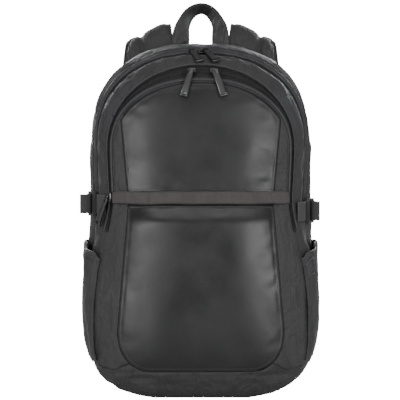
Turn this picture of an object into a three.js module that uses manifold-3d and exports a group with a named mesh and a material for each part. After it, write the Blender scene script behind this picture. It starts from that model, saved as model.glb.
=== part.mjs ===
// A laptop backpack standing on its base: a stack of arch-shaped fabric bands with two long zips between them,
// a leather-faced front with a zipped lower pocket, two side pockets, side compression straps, a carry handle,
// a padded back and two padded shoulder straps.
// Units are millimetres. +X is to the right seen from the front, the front faces -Y and +Z is up.
import * as THREE from "three";
import { mergeVertices } from "three/addons/utils/BufferGeometryUtils.js";
import Module from "manifold-3d";

const wasm = await Module();
wasm.setup();

// Driving dimensions
const bag = {
  width: 292, // widest cloth-to-cloth width, side pockets not counted
  height: 452,
  depth: 130, // from the back seam to the front panel's rim, at the base
  shoulderHeight: 322, // where the straight sides end and the arched top begins
  waistHeight: 250, // where the compression straps pull the sides in
  hipHeight: 99, // where the rounded base begins
  footPower: 3.9, // how square the base is: 2 is an ellipse
  footSag: 10, // how much lower the base hangs in the middle than at its corners
  pressedFlat: 3.6, // how far the rounded base is pressed flat by what it stands on
};
const cloth = { wall: 2.2, seamGap: 0.3 };
const leather = { wall: 3 };
const front = {
  lowerBulge: 31,
  upperBulge: 15,
  sidePower: 3.4,
  endPower: 6,
  middleHeight: 215,
  pipingWidth: 5,
  pipingLift: 1.5,
};
const flap = { height: 256.5, width: 17, lift: 2.2, bulge: 17 };
const lowerLeather = { topHalf: 93, hipHalf: 106.5, hipHeight: 88, bottom: 35, corner: 44 };
const upperLeather = { bottomHalf: 94, topHalf: 103, topHeight: 360 };
const boot = { sideSeam: 46, frontSeam: 37, cornerX: 110, cornerTop: 46, cornerTopX: 90 };
const zip = {
  mainEnd: 241, // heights at which the two long zips stop
  midEnd: 212,
  tape: 1.2,
  coil: 1.6,
  recess: 2.4,
};
const slider = { length: 11, width: 8, height: 4.2 };
const pull = { length: 38, width: 10, thickness: 2.4, hole: 3.4 };
const sidePocket = {
  floor: 47,
  rimFront: 177,
  rimBack: 197,
  backV: 0.16,
  frontV: 3.8,
  clearance: 0.9,
  fullness: 2.2, // how far its wall stands off the side, low down and at the rim
  rimFullness: 9,
  wall: 1.6,
};
const webbing = { width: 25, thickness: 1.5, clearance: 0.35 };
const lock = { height: 32, bar: 4, slot: 5.4, thickness: 4 };
const sideStrap = { lockDepth: 62, anchorDepth: 106 };
const sideStraps = [
  { side: "left", height: flap.height - 9.5, tail: 15 },
  { side: "right", height: flap.height - 18.5, tail: 11.5 },
];
const backPanel = { thickness: 9, inset: 2 };
const backPad = {
  thickness: 11,
  channel: 30,
  innerTop: 405,
  bottom: 128,
  outerHalf: 118,
  corner: 30,
};
const lumbarPad = { bottom: 46, top: 116, half: 100, thickness: 13, corner: 26 };
const shoulderStrap = {
  width: 58,
  thickness: 13,
  piping: 0.62, // share of the thickness left at the sewn edge
  spread: 66, // distance of each strap's root from the middle
  peak: 467,
  stand: 62, // how far behind the back panel the strap stands at its widest
};
const handle = { half: 26, peak: 500, width: 21, thickness: 4, tilt: 34, root: 432 };
const tag = { backV: 2.72, frontV: 3.66, t: 0.8, height: 19, thickness: 1 };

// Colours and finishes
const finish = {
  cloth: { color: 0x383838, roughness: 0.85 },
  trim: { color: 0x3b3b40, roughness: 0.6 },
  flap: { color: 0x4a4546, roughness: 0.75 },
  leather: { color: 0x333333, roughness: 0.42 },
  webbing: { color: 0x303030, roughness: 0.8 },
  zip: { color: 0x0e0e0e, roughness: 0.7 },
  slider: { color: 0x4c4c4e, roughness: 0.35, metalness: 0.8 },
  pull: { color: 0x242424, roughness: 0.5 },
  lock: { color: 0x2b2b2b, roughness: 0.45 },
  mesh: { color: 0x262626, roughness: 0.95 },
};

// Seam lines from back to front. Widths are shares of half the bag's width at shoulder, waist and hip, top and foot
// are shares of its height, reach is a share of its depth, low down and at the top, and crown says how square the
// arched top is, 2 being an ellipse.
const seams = [
  { name: "back", low: 0, high: 0, shoulder: 0.959, waist: 0.964, hip: 0.994, top: 1, foot: 0, crown: 2.5 },
  { name: "mainZipRear", low: 0.54, high: 0.48, shoulder: 0.935, waist: 0.918, hip: 0.985, top: 0.981, foot: 0,
    crown: 2.35 },
  { name: "mainZipFront", low: 0.6, high: 0.545, shoulder: 0.913, waist: 0.896, hip: 0.976, top: 0.972, foot: 0,
    crown: 2.3 },
  { name: "midZipRear", low: 0.94, high: 0.77, shoulder: 0.82, waist: 0.8, hip: 0.952, top: 0.944, foot: 0.002,
    crown: 2.03 },
  { name: "frontRim", low: 1, high: 0.83, shoulder: 0.8, waist: 0.785, hip: 0.932, top: 0.909, foot: 0.011,
    crown: 2.17 },
];
const seam = Object.fromEntries(seams.map((row, index) => [row.name, index]));
// How far each band of cloth swells between its two seams.
const belly = [5, 0, 4.5, 0];
// Dents in the front panel: place as shares of half width and height, reach and depth as shares of the lower bulge.
const dents = [
  { x: 0.6, z: 0.65, reach: 0.6, depth: 0.11 },
  { x: -0.62, z: 0.655, reach: 0.5, depth: 0.06 },
  { x: -0.5, z: 0.05, reach: 0.55, depth: 0.12 },
  { x: 0.46, z: 0.055, reach: 0.6, depth: 0.14 },
];

// Small maths
const mix = (a, b, t) => a + (b - a) * t;
const clamp = (x, low, high) => Math.min(high, Math.max(low, x));
const ease = (t) => {
  const s = clamp(t, 0, 1);
  return s * s * (3 - 2 * s);
};
const power = (x, p) => Math.sign(x) * Math.abs(x) ** p;

const gap = cloth.seamGap;

// The seam outlines
const halfWidth = bag.width / 2;
const shoulderZ = bag.shoulderHeight;
const hipZ = bag.hipHeight;
const footZ = (row) => row.foot * bag.height - bag.pressedFlat;
const topZ = (row) => row.top * bag.height;

// Half width of a seam's straight side at height z.
function sideHalf(row, z) {
  const t = z >= bag.waistHeight
    ? ease((z - bag.waistHeight) / (shoulderZ - bag.waistHeight))
    : ease(((bag.waistHeight - z) / (bag.waistHeight - hipZ)) ** 0.75);
  return halfWidth * mix(row.waist, z >= bag.waistHeight ? row.shoulder : row.hip, t);
}

const reachAt = (row, z) => bag.depth * mix(row.low, row.high, ease(z / bag.height));

// A seam's point at u: 0 to 1 up the right side, to 2 over the top, to 3 down the left side, to 4 under the base.
function seamPoint(row, u) {
  const turn = ((u % 4) + 4) % 4;
  const leg = Math.floor(turn);
  const t = turn - leg;
  let x;
  let z;
  if (leg === 0 || leg === 2) {
    z = mix(hipZ, shoulderZ, leg === 0 ? t : 1 - t);
    x = (leg === 0 ? 1 : -1) * sideHalf(row, z);
  } else if (leg === 1) {
    x = halfWidth * row.shoulder * power(Math.cos(Math.PI * t), 2 / row.crown);
    z = shoulderZ + (topZ(row) - shoulderZ) * power(Math.sin(Math.PI * t), 2 / row.crown);
  } else {
    x = -halfWidth * row.hip * power(Math.cos(Math.PI * t), 2 / bag.footPower);
    const drop = power(Math.sin(Math.PI * t), 2 / bag.footPower);
    const outward = x / (halfWidth * row.hip);
    z = hipZ - (hipZ - footZ(row)) * drop + bag.footSag * outward ** 2 * drop;
  }
  return new THREE.Vector3(x, -reachAt(row, z), Math.max(z, 0));
}

// The number between low and high at which a falling function reaches zero.
function solve(low, high, falling) {
  let [from, to] = [low, high];
  for (let i = 0; i < 24; i++) {
    const middle = (from + to) / 2;
    if (falling(middle) > 0) from = middle;
    else to = middle;
  }
  return from;
}

// u of a seam's point at height z, on the right side.
function seamU(row, z) {
  if (z > shoulderZ) return solve(1, 1.5, (u) => z - seamPoint(row, u).z);
  if (z < hipZ) return solve(3.5, 4, (u) => z - seamPoint(row, u).z);
  return (z - hipZ) / (shoulderZ - hipZ);
}

// Half width of a seam at any height.
function halfAt(row, z) {
  return z > hipZ && z < shoulderZ ? sideHalf(row, z) : seamPoint(row, seamU(row, z)).x;
}

// How far the front panel stands forward of its rim at (x, z).
function frontReach(x, z) {
  const rim = seams[seam.frontRim];
  const across = clamp(Math.abs(x) / Math.max(halfAt(rim, z), 1), 0, 1);
  const far = z > front.middleHeight ? topZ(rim) : footZ(rim);
  const along = clamp((z - front.middleHeight) / (far - front.middleHeight), 0, 1);
  const upper = ease((z - flap.height) / (2 * flap.width));
  const lower = ease((flap.height - z) / (2 * flap.width));
  const fullness = flap.bulge + (front.upperBulge - flap.bulge) * upper + (front.lowerBulge - flap.bulge) * lower;
  const crown = (1 - across ** front.sidePower) * (1 - along ** front.endPower);
  const pressed = dents.reduce((sum, dent) => {
    const away = Math.hypot(x - dent.x * halfWidth, z - dent.z * bag.height) / (dent.reach * front.lowerBulge);
    return sum + dent.depth * front.lowerBulge * Math.exp(-away * away);
  }, 0);
  return reachAt(rim, z) + crown * (fullness - pressed);
}

// The bag's outer surface. v counts the seams from the back, and past the last seam it runs in to the front's middle.
const rimV = seam.frontRim;
function surfacePoint(u, v) {
  if (v > rimV) {
    const inward = 1 - (v - rimV);
    const rim = seamPoint(seams[rimV], u);
    const x = rim.x * inward;
    const z = mix(front.middleHeight, rim.z, inward);
    return new THREE.Vector3(x, -frontReach(x, z), z);
  }
  const band = clamp(Math.floor(v), 0, rimV - 1);
  const t = v - band;
  const p = seamPoint(seams[band], u).lerp(seamPoint(seams[band + 1], u), t);
  const swell = belly[band] * Math.sin(Math.PI * t) * ease(p.z / hipZ);
  const away = new THREE.Vector3(p.x, 0, (p.z - front.middleHeight) * (p.z > shoulderZ ? 1 : 0)).normalize();
  return p.addScaledVector(away, swell);
}

// Outward normal, mitred at the seams so that neighbouring bands share one corner line.
const NEAR_SEAM = 0.07;
function surfaceNormal(u, v) {
  const snapped = Math.abs(v - Math.round(v)) < NEAR_SEAM && v < rimV + 0.5 ? Math.round(v) : v;
  const step = 0.02;
  const along = surfacePoint(u + step, snapped).sub(surfacePoint(u - step, snapped));
  const sides = [-1, 1]
    .filter((side) => snapped + side * step >= 0)
    .map((side) => surfacePoint(u, snapped + side * step).sub(surfacePoint(u, snapped)).multiplyScalar(side))
    .map((tangent) => new THREE.Vector3().crossVectors(along, tangent).normalize());
  const normal = sides.reduce((sum, n) => sum.add(n), new THREE.Vector3()).normalize();
  return normal.multiplyScalar(1 / clamp(normal.dot(sides[0]), 0.7, 1));
}

const liftedPoint = (u, v, lift) => surfacePoint(u, v).addScaledVector(surfaceNormal(u, v), lift);

// u of the crown's point at x, on the surface at v.
const uAtCrown = (x, v) => solve(1, 2, (u) => surfacePoint(u, v).x - x);

// u of the right side's point at height z, on the side or on the rounded base.
const uAtHeight = (z) => seamU(seams[seam.back], z);

// Meshes from grids, and solids from meshes
function geometryFrom(points, triangles) {
  const raw = new THREE.BufferGeometry();
  raw.setAttribute("position", new THREE.Float32BufferAttribute(points.flatMap((p) => [p.x, p.y, p.z]), 3));
  raw.setIndex(triangles.flat());
  const merged = mergeVertices(raw, 1e-3);
  const kept = [];
  for (let i = 0; i < merged.index.count; i += 3) {
    const [a, b, c] = [0, 1, 2].map((k) => merged.index.getX(i + k));
    if (a !== b && b !== c && c !== a) kept.push(a, b, c);
  }
  merged.setIndex(kept);
  return merged;
}

// Triangles of a grid of points given row by row.
function gridTriangles(rows, columns, closed = false) {
  const triangles = [];
  const spans = closed ? columns : columns - 1;
  for (let i = 0; i + 1 < rows; i++) {
    for (let j = 0; j < spans; j++) {
      const [a, b] = [i * columns + j, i * columns + ((j + 1) % columns)];
      triangles.push([a, b, b + columns], [a, b + columns, a + columns]);
    }
  }
  return triangles;
}

// A closed wall from a sheet's outer points, the points behind them, and the sheet's triangles. Points that
// coincide count as one, and every open edge of the sheet gets a strip that joins the two faces.
function wallGeometry(outer, inner, triangles) {
  const first = new Map();
  const same = outer.map((p, i) => {
    const key = [p.x, p.y, p.z].map((c) => Math.round(c * 1e3)).join();
    if (!first.has(key)) first.set(key, i);
    return first.get(key);
  });
  const kept = triangles.map((t) => t.map((i) => same[i])).filter(([a, b, c]) => a !== b && b !== c && c !== a);
  const edges = new Set(kept.flatMap(([a, b, c]) => [`${a},${b}`, `${b},${c}`, `${c},${a}`]));
  const open = [...edges].map((edge) => edge.split(",").map(Number)).filter(([a, b]) => !edges.has(`${b},${a}`));
  const behind = outer.length;
  const rear = kept.map(([a, b, c]) => [a + behind, c + behind, b + behind]);
  const strips = open.flatMap(([a, b]) => [[b, a, a + behind], [b, a + behind, b + behind]]);
  return geometryFrom([...outer, ...inner], [...kept, ...rear, ...strips]);
}

// A wall over a grid of points from a function of row, column and lift.
function gridWall(pointAt, rows, columns, low, high) {
  const sheet = (lift) => rows.flatMap((row) => columns.map((column) => pointAt(row, column, lift)));
  return toSolid(wallGeometry(sheet(high), sheet(low), gridTriangles(rows.length, columns.length)));
}

// The same shape with its faces pointing out, whichever way its grid ran.
function facingOut(geometry) {
  const position = geometry.getAttribute("position");
  const index = geometry.getIndex();
  const [a, b, c] = [new THREE.Vector3(), new THREE.Vector3(), new THREE.Vector3()];
  let volume = 0;
  for (let i = 0; i < index.count; i += 3) {
    a.fromBufferAttribute(position, index.getX(i));
    b.fromBufferAttribute(position, index.getX(i + 1));
    c.fromBufferAttribute(position, index.getX(i + 2));
    volume += a.dot(b.cross(c));
  }
  if (volume < 0) {
    for (let i = 0; i < index.count; i += 3) {
      const first = index.getX(i);
      index.setX(i, index.getX(i + 1));
      index.setX(i + 1, first);
    }
  }
  return geometry;
}

function toSolid(geometry) {
  const bare = new THREE.BufferGeometry();
  bare.setAttribute("position", geometry.getAttribute("position"));
  bare.setIndex(geometry.getIndex());
  const merged = facingOut(mergeVertices(bare, 1e-3));
  return new wasm.Manifold(
    new wasm.Mesh({
      numProp: 3,
      vertProperties: merged.attributes.position.array,
      triVerts: new Uint32Array(merged.index.array),
    }),
  );
}

function toGeometry(solid) {
  const mesh = solid.getMesh();
  const geometry = new THREE.BufferGeometry();
  geometry.setAttribute("position", new THREE.Float32BufferAttribute(mesh.vertProperties, 3));
  geometry.setIndex([...mesh.triVerts]);
  return geometry;
}

// A prism through the whole bag, from an outline of [x, z] points or a THREE.Shape in the front plane.
function prism(outline, curveSegments = 8) {
  const shape = Array.isArray(outline) ? new THREE.Shape(outline.map(([x, z]) => new THREE.Vector2(x, z))) : outline;
  const length = 4 * bag.depth;
  const geometry = new THREE.ExtrudeGeometry(shape, { depth: length, bevelEnabled: false, curveSegments });
  geometry.rotateX(Math.PI / 2).translate(0, length / 4, 0);
  return toSolid(geometry);
}

const widePast = 2 * bag.width;
const slab = (low, high) => prism([[-widePast, low], [widePast, low], [widePast, high], [-widePast, high]]);

// Samples of u round the whole outline. Those up the sides are closest where the pocket flap pinches the front.
const CROWN_STEPS = 18;
const FOOT_STEPS = 14;
const FACE_COLUMNS = 12;
function steps(from, to, count) {
  return Array.from({ length: count + 1 }, (_, i) => mix(from, to, i / count));
}
const sideLevels = [
  ...steps(hipZ, flap.height - flap.width, 3),
  flap.height - flap.width / 2,
  flap.height + flap.width / 2,
  mix(flap.height, shoulderZ, 0.55),
  shoulderZ,
];
const sideU = sideLevels.map((z) => (z - hipZ) / (shoulderZ - hipZ));
const roundU = [
  ...sideU.slice(0, -1),
  ...steps(1, 2, CROWN_STEPS).slice(0, -1),
  ...sideU.map((u) => 3 - u).reverse().slice(0, -1),
  ...steps(3, 4, FOOT_STEPS).slice(0, -1),
];
const crownIndex = sideU.length - 1 + CROWN_STEPS / 2;

// A ring of the bag's wall: rows lists [v, lift of its outer face] from back to front.
function ring(rows, wall) {
  const sheet = (drop) => rows.flatMap(([v, lift]) => roundU.map((u) => liftedPoint(u, v, lift - drop)));
  return toSolid(wallGeometry(sheet(0), sheet(wall), gridTriangles(rows.length, roundU.length, true)));
}

// A point of the front face, moved out along the face's own normal.
function facePoint(x, z, lift) {
  const step = 1;
  const slopeX = (frontReach(x + step, z) - frontReach(x - step, z)) / (2 * step);
  const slopeZ = (frontReach(x, z + step) - frontReach(x, z - step)) / (2 * step);
  const normal = new THREE.Vector3(-slopeX, -1, -slopeZ).normalize();
  return new THREE.Vector3(x, -frontReach(x, z), z).addScaledVector(normal, lift);
}

// A ring that ends in the whole front face: the last row is filled by a grid of level rows from edge to edge.
function face(rows, wall, faceLift = 0) {
  const count = roundU.length;
  const levels = count / 2;
  const columns = steps(1, -1, FACE_COLUMNS).map((t) => Math.sin((Math.PI / 2) * t));
  const sheet = (drop) => {
    const loops = rows.flatMap(([v, lift]) => roundU.map((u) => liftedPoint(u, v, lift - drop)));
    const last = loops.slice(-count);
    const flatV = rows.at(-1)[0];
    const grid = Array.from({ length: levels + 1 }, (_, k) => {
      const [left, right] = [(crownIndex + k) % count, (crownIndex - k + count) % count];
      const edge = surfacePoint(roundU[right], flatV);
      return columns.map((s, j) => {
        if (j === 0) return last[right];
        if (j === columns.length - 1) return last[left];
        if (k === 0 || k === levels) return last[left];
        return facePoint(s * edge.x, edge.z, faceLift - drop);
      });
    });
    return [...loops, ...grid.flat()];
  };
  const offset = rows.length * count;
  const gridPart = gridTriangles(levels + 1, columns.length).map((t) => t.map((i) => i + offset));
  const ringPart = gridTriangles(rows.length, count, true);
  return toSolid(wallGeometry(sheet(0), sheet(wall), [...ringPart, ...gridPart]));
}

const plainRows = (from, to, count) => steps(from, to, count).map((v) => [v, 0]);
// The share of v that a gap of one seam clearance takes, in a band of the given width.
const gapShare = (bandWidth) => cloth.seamGap / bandWidth;

// Regions of the front, as outlines in the front plane
function leatherLowerOutline(grow) {
  const { topHalf, hipHalf, hipHeight, bottom, corner } = lowerLeather;
  const top = flap.height - flap.width / 2;
  const reach = corner + grow;
  const shape = new THREE.Shape();
  shape.moveTo(-topHalf - grow, top + grow);
  shape.lineTo(-hipHalf - grow, hipHeight);
  shape.bezierCurveTo(
    -hipHalf - grow, mix(hipHeight, bottom, 0.62),
    -hipHalf + corner * 0.4, bottom - grow,
    -hipHalf + reach, bottom - grow,
  );
  shape.lineTo(hipHalf - reach, bottom - grow);
  shape.bezierCurveTo(
    hipHalf - corner * 0.4, bottom - grow,
    hipHalf + grow, mix(hipHeight, bottom, 0.62),
    hipHalf + grow, hipHeight,
  );
  shape.lineTo(topHalf + grow, top + grow);
  return shape;
}

function leatherUpperOutline(grow) {
  const { bottomHalf, topHalf, topHeight } = upperLeather;
  const low = flap.height;
  const corner = topHeight - grow;
  return [
    [-bottomHalf - grow, low], [bottomHalf + grow, low], [topHalf + grow, corner], [widePast, corner],
    [widePast, 2 * bag.height], [-widePast, 2 * bag.height], [-widePast, corner], [-topHalf - grow, corner],
  ];
}

function bootOutline(grow) {
  const { sideSeam, frontSeam, cornerX, cornerTop, cornerTopX } = boot;
  return [
    [-widePast, -bag.height], [widePast, -bag.height], [widePast, sideSeam + grow], [bag.width / 2, sideSeam + grow],
    [cornerX, frontSeam + grow], [cornerTopX, cornerTop + grow], [-cornerTopX, cornerTop + grow],
    [-cornerX, frontSeam + grow], [-bag.width / 2, sideSeam + grow], [-widePast, sideSeam + grow],
  ];
}

const bootRegion = prism(bootOutline(-gap)).subtract(prism(leatherLowerOutline(gap)));
const aboveBoot = prism([[-widePast, -bag.height], [widePast, -bag.height], [widePast, 2 * bag.height],
  [-widePast, 2 * bag.height]]).subtract(prism(bootOutline(gap)));
const aboveZipEnd = (end) => slab(end, 2 * bag.height);

// Bands of cloth and the zips between them
const zipBand = reachAt(seams[seam.mainZipFront], 0) - reachAt(seams[seam.mainZipRear], 0);
const wideBand = reachAt(seams[seam.mainZipRear], 0);
const midBand = reachAt(seams[seam.midZipRear], 0) - reachAt(seams[seam.mainZipFront], 0);
const rimBand = reachAt(seams[seam.frontRim], 0) - reachAt(seams[seam.midZipRear], 0);

function mainGusset() {
  const end = seam.mainZipRear - gapShare(wideBand);
  return ring(plainRows(gapShare(wideBand), end, 4), cloth.wall).intersect(aboveBoot);
}

// The band between the long zips. Below the zips' ends it reaches back to the main band.
function midGusset() {
  const rear = seam.mainZipRear + gapShare(zipBand);
  const middle = seam.mainZipFront + gapShare(midBand);
  const end = seam.midZipRear - gapShare(midBand);
  const whole = ring([[rear, 0], ...plainRows(middle, end, 3)], cloth.wall);
  const channel = ring([[rear - 0.5, cloth.wall * 2], [middle, cloth.wall * 2]], cloth.wall * 6);
  return whole.subtract(channel.intersect(aboveZipEnd(zip.mainEnd))).intersect(aboveBoot);
}

// A zip in the gap between two seams: tape on both sides and the coil raised along the middle.
function zipArch(rear, width, end) {
  const clear = 1.5 * gapShare(width);
  const profile = [{ at: 0, lift: 0 }, { at: 0.36, lift: 1 }, { at: 0.64, lift: 1 }, { at: 1, lift: 0 }];
  const rows = profile.map(({ at, lift }) => [rear + mix(clear, 1 - clear, at), zip.coil * lift - zip.recess]);
  const outer = rows.flatMap(([v, lift]) => roundU.map((u) => liftedPoint(u, v, lift)));
  const inner = rows.flatMap(([v]) => roundU.map((u) => liftedPoint(u, v, -zip.recess - zip.tape)));
  const triangles = gridTriangles(rows.length, roundU.length, true);
  return toSolid(wallGeometry(outer, inner, triangles)).intersect(aboveZipEnd(end + 2 * gap));
}

// The front, from the piping in
const pipingShare = front.pipingWidth / halfWidth;
const frontGap = gapShare(halfWidth);

function frontPiping() {
  const from = rimV + frontGap;
  const to = rimV + pipingShare - frontGap;
  const rows = [[from, 0], [mix(from, to, 0.3), front.pipingLift], [mix(from, to, 0.7), front.pipingLift], [to, 0]];
  return ring(rows, leather.wall).intersect(aboveFlap);
}

const half = (sign) => prism([[0, -bag.height], [sign * widePast, -bag.height], [sign * widePast, 2 * bag.height],
  [0, 2 * bag.height]]);
const aboveFlap = slab(flap.height + flap.width / 2 + gap, 2 * bag.height);
const belowFlap = slab(-bag.height, flap.height - flap.width / 2 - gap);
const shell = face([[rimV + pipingShare + frontGap, 0], [rimV + 1.7 * pipingShare, 0]], leather.wall);

function upperStrip(sign) {
  return shell.intersect(aboveFlap).subtract(prism(leatherUpperOutline(gap))).intersect(half(sign));
}

// The cloth at each side of the lower leather. Below the zips' ends its edge is turned back to the second zip's seam.
function lowerBorder(sign) {
  const edge = rimV + frontGap;
  const rows = [seam.midZipRear + gapShare(rimBand), rimV, edge + pipingShare, rimV + 1.7 * pipingShare];
  const whole = face(rows.map((v) => [v, 0]), leather.wall);
  const zipChannel = ring([[rimV - 1.5, 2 * leather.wall], [edge, 2 * leather.wall]], 6 * leather.wall);
  return whole.subtract(zipChannel.intersect(aboveZipEnd(zip.midEnd))).intersect(belowFlap).intersect(aboveBoot)
    .subtract(prism(leatherLowerOutline(gap))).intersect(half(sign));
}

function pocketFlap() {
  const ends = 0.35 * flap.width;
  const edgeHalf = halfAt(seams[rimV], flap.height) - 0.6;
  const low = flap.height - flap.width / 2 + gap;
  const high = flap.height + flap.width / 2 - gap;
  const outline = [
    [-edgeHalf, low + ends * 0.3], [-edgeHalf + ends, low], [edgeHalf - ends, low], [edgeHalf, low + ends * 0.3],
    [edgeHalf, high - ends * 0.3], [edgeHalf - ends, high], [-edgeHalf + ends, high], [-edgeHalf, high - ends * 0.3],
  ];
  const rows = [[rimV + frontGap, flap.lift], [rimV + pipingShare, flap.lift]];
  return face(rows, leather.wall, flap.lift).intersect(prism(outline));
}

// The boot: the lower rim of every band and of the front in one piece, closing the bag underneath.
function bootSolid() {
  const bands = [0, 1, 2, 3].flatMap((band) => plainRows(band, band + 1, belly[band] ? 2 : 1).slice(0, -1));
  bands[0] = [gapShare(wideBand), 0];
  return face([...bands, [rimV, 0], [rimV + pipingShare, 0]], cloth.wall).intersect(bootRegion);
}

// The back
function roundedOutline(halfWide, low, high, corner) {
  const shape = new THREE.Shape();
  shape.moveTo(-halfWide + corner, low);
  shape.lineTo(halfWide - corner, low);
  shape.quadraticCurveTo(halfWide, low, halfWide, low + corner);
  shape.lineTo(halfWide, high - corner);
  shape.quadraticCurveTo(halfWide, high, halfWide - corner, high);
  shape.lineTo(-halfWide + corner, high);
  shape.quadraticCurveTo(-halfWide, high, -halfWide, high - corner);
  shape.lineTo(-halfWide, low + corner);
  shape.quadraticCurveTo(-halfWide, low, -halfWide + corner, low);
  return shape;
}

// A stitched-down cushion on the plane y = base, crowned towards +Y.
function cushion(points, base, thickness) {
  const centre = points.reduce((sum, p) => sum.add(p), new THREE.Vector2()).divideScalar(points.length);
  const profile = [
    { inward: 0, lift: 0.35 }, { inward: 0.1, lift: 0.82 }, { inward: 0.35, lift: 1 }, { inward: 1, lift: 1 },
  ];
  const sheet = (lifted) => profile.flatMap(({ inward, lift }) => points.map((p) => {
    const q = p.clone().lerp(centre, inward);
    return new THREE.Vector3(q.x, base + (lifted ? lift * thickness : 0), q.y);
  }));
  const triangles = gridTriangles(profile.length, points.length, true);
  return toSolid(wallGeometry(sheet(true), sheet(false), triangles));
}

const backRow = seams[seam.back];
const backFace = backPanel.thickness + gap;
function backBoard() {
  const outline = roundU.map((u) => {
    const p = seamPoint(backRow, u);
    const inward = new THREE.Vector2(p.x, p.z - front.middleHeight).setLength(backPanel.inset);
    return new THREE.Vector3(p.x - inward.x, 0, Math.max(p.z - inward.y, backPanel.inset));
  });
  const layer = (y, inward) => outline.map((p) => new THREE.Vector3(
    mix(p.x, 0, inward), y, mix(p.z, front.middleHeight, inward)));
  const edge = 0.012;
  const rear = [layer(backPanel.thickness * 0.6, 0), layer(backPanel.thickness, edge), layer(backPanel.thickness, 1)];
  const fore = [layer(0, 0), layer(0, edge), layer(0, 1)];
  return toSolid(wallGeometry(rear.flat(), fore.flat(), gridTriangles(rear.length, roundU.length, true)));
}

// One of the two tall back cushions, between the air channel and a side that follows the bag's outline.
function backCushion(sign) {
  const inner = backPad.channel / 2;
  const { outerHalf, bottom, innerTop, corner, thickness } = backPad;
  const shape = new THREE.Shape();
  shape.moveTo(inner, bottom);
  shape.lineTo(outerHalf - corner, bottom);
  shape.quadraticCurveTo(outerHalf, bottom, outerHalf, bottom + corner);
  shape.lineTo(outerHalf, mix(bag.waistHeight, shoulderZ, 0.7));
  const bend = [outerHalf, mix(shoulderZ, innerTop, 0.6), mix(inner, outerHalf, 0.7), innerTop];
  shape.bezierCurveTo(...bend, inner, innerTop);
  const points = shape.getPoints(8).map((p) => new THREE.Vector2(sign * p.x, p.y));
  return cushion(points, backFace + gap, thickness);
}

function lumbarCushion() {
  const outline = roundedOutline(lumbarPad.half, lumbarPad.bottom, lumbarPad.top, lumbarPad.corner);
  return cushion(outline.getPoints(4).slice(0, -1), backFace + gap, lumbarPad.thickness);
}

// Side pockets: a cloth wall that follows the side, sewn along its back, bottom and front and open at the rim.
// A point of the wall is given by v, by its share of the way up to the rim and by its lift off the wall's inside.
const pocketColumns = steps(sidePocket.backV, sidePocket.frontV, 11);
function pocketPoint(sign, v, t, lift) {
  const s = (v - sidePocket.backV) / (sidePocket.frontV - sidePocket.backV);
  const rim = mix(sidePocket.rimBack, sidePocket.rimFront, s ** 1.6);
  const z = mix(sidePocket.floor, rim, t);
  const open = Math.sin(Math.PI * clamp(s, 0, 1)) ** 0.6 * Math.sin((Math.PI / 2) * clamp(t * 1.6, 0, 1));
  const fullness = mix(sidePocket.fullness, sidePocket.rimFullness, t ** 2);
  const p = liftedPoint(uAtHeight(z), v, sidePocket.clearance + fullness * open + lift);
  return p.setX(sign * p.x);
}

function pocketWall(sign) {
  const pointAt = (t, v, lift) => pocketPoint(sign, v, t, lift);
  return gridWall(pointAt, steps(0, 1, 8), pocketColumns, 0, sidePocket.wall);
}

// The blank tag sewn to the right pocket.
function pocketTag() {
  const { backV, frontV, t, height, thickness } = tag;
  const rise = height / (sidePocket.rimFront - sidePocket.floor);
  const pointAt = (row, column, lift) => pocketPoint(1, column, row, lift);
  const base = sidePocket.wall + gap;
  return gridWall(pointAt, steps(t, t + rise, 3), steps(backV, frontV, 4), base, base + thickness);
}

// Strips of webbing and padding, swept along stations: centre, direction across the width, and the section's size.
function sweep(stations, section) {
  const rings = stations.map((station, i) => {
    const before = stations[Math.max(i - 1, 0)].at;
    const after = stations[Math.min(i + 1, stations.length - 1)].at;
    const along = new THREE.Vector3().subVectors(after, before).normalize();
    const normal = new THREE.Vector3().crossVectors(along, station.across).normalize();
    const across = new THREE.Vector3().crossVectors(normal, along).normalize();
    return section(station).map(([a, n]) => station.at.clone().addScaledVector(across, a).addScaledVector(normal, n));
  });
  const count = rings[0].length;
  const points = rings.flat();
  const triangles = [];
  for (let i = 0; i + 1 < rings.length; i++) {
    for (let j = 0; j < count; j++) {
      const [a, b] = [i * count + j, i * count + ((j + 1) % count)];
      triangles.push([a, b, b + count], [a, b + count, a + count]);
    }
  }
  const last = (rings.length - 1) * count;
  for (let j = 1; j + 1 < count; j++) {
    triangles.push([0, j + 1, j], [last, last + j, last + j + 1]);
  }
  return toSolid(geometryFrom(points, triangles));
}

const flatSection = (width, thickness) => () => [
  [-width / 2, -thickness / 2], [width / 2, -thickness / 2], [width / 2, thickness / 2], [-width / 2, thickness / 2],
];

// A ribbon through points given in a lock's own plane: along the strap and out from the bag.
function ribbon(points, place, across, width, thickness) {
  return sweep(points.map(([along, out]) => ({ at: place(along, out), across })), flatSection(width, thickness));
}

// A ladder lock: a frame of three bars with two slots, its length along X and its thickness along Z.
function ladderLock() {
  const length = 3 * lock.bar + 2 * lock.slot;
  const outline = roundedOutline(length / 2, -lock.height / 2, lock.height / 2, lock.bar * 0.6);
  const plate = new THREE.ExtrudeGeometry(outline, { depth: lock.thickness, bevelEnabled: false, curveSegments: 3 });
  plate.translate(0, 0, -lock.thickness / 2);
  const slotWidth = webbing.width + 4 * webbing.clearance;
  return [-1, 1].reduce((solid, side) => {
    const slot = new THREE.BoxGeometry(lock.slot, slotWidth, 2 * lock.thickness);
    return solid.subtract(toSolid(slot.translate((side * (lock.bar + lock.slot)) / 2, 0, 0)));
  }, toSolid(plate));
}

// A solid turned so that its X runs along one direction and its Y across another, and moved to a place.
function placed(solid, along, across, at) {
  const basis = new THREE.Matrix4().makeBasis(along, across, new THREE.Vector3().crossVectors(along, across));
  return toSolid(toGeometry(solid).applyMatrix4(basis.setPosition(at)));
}

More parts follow.
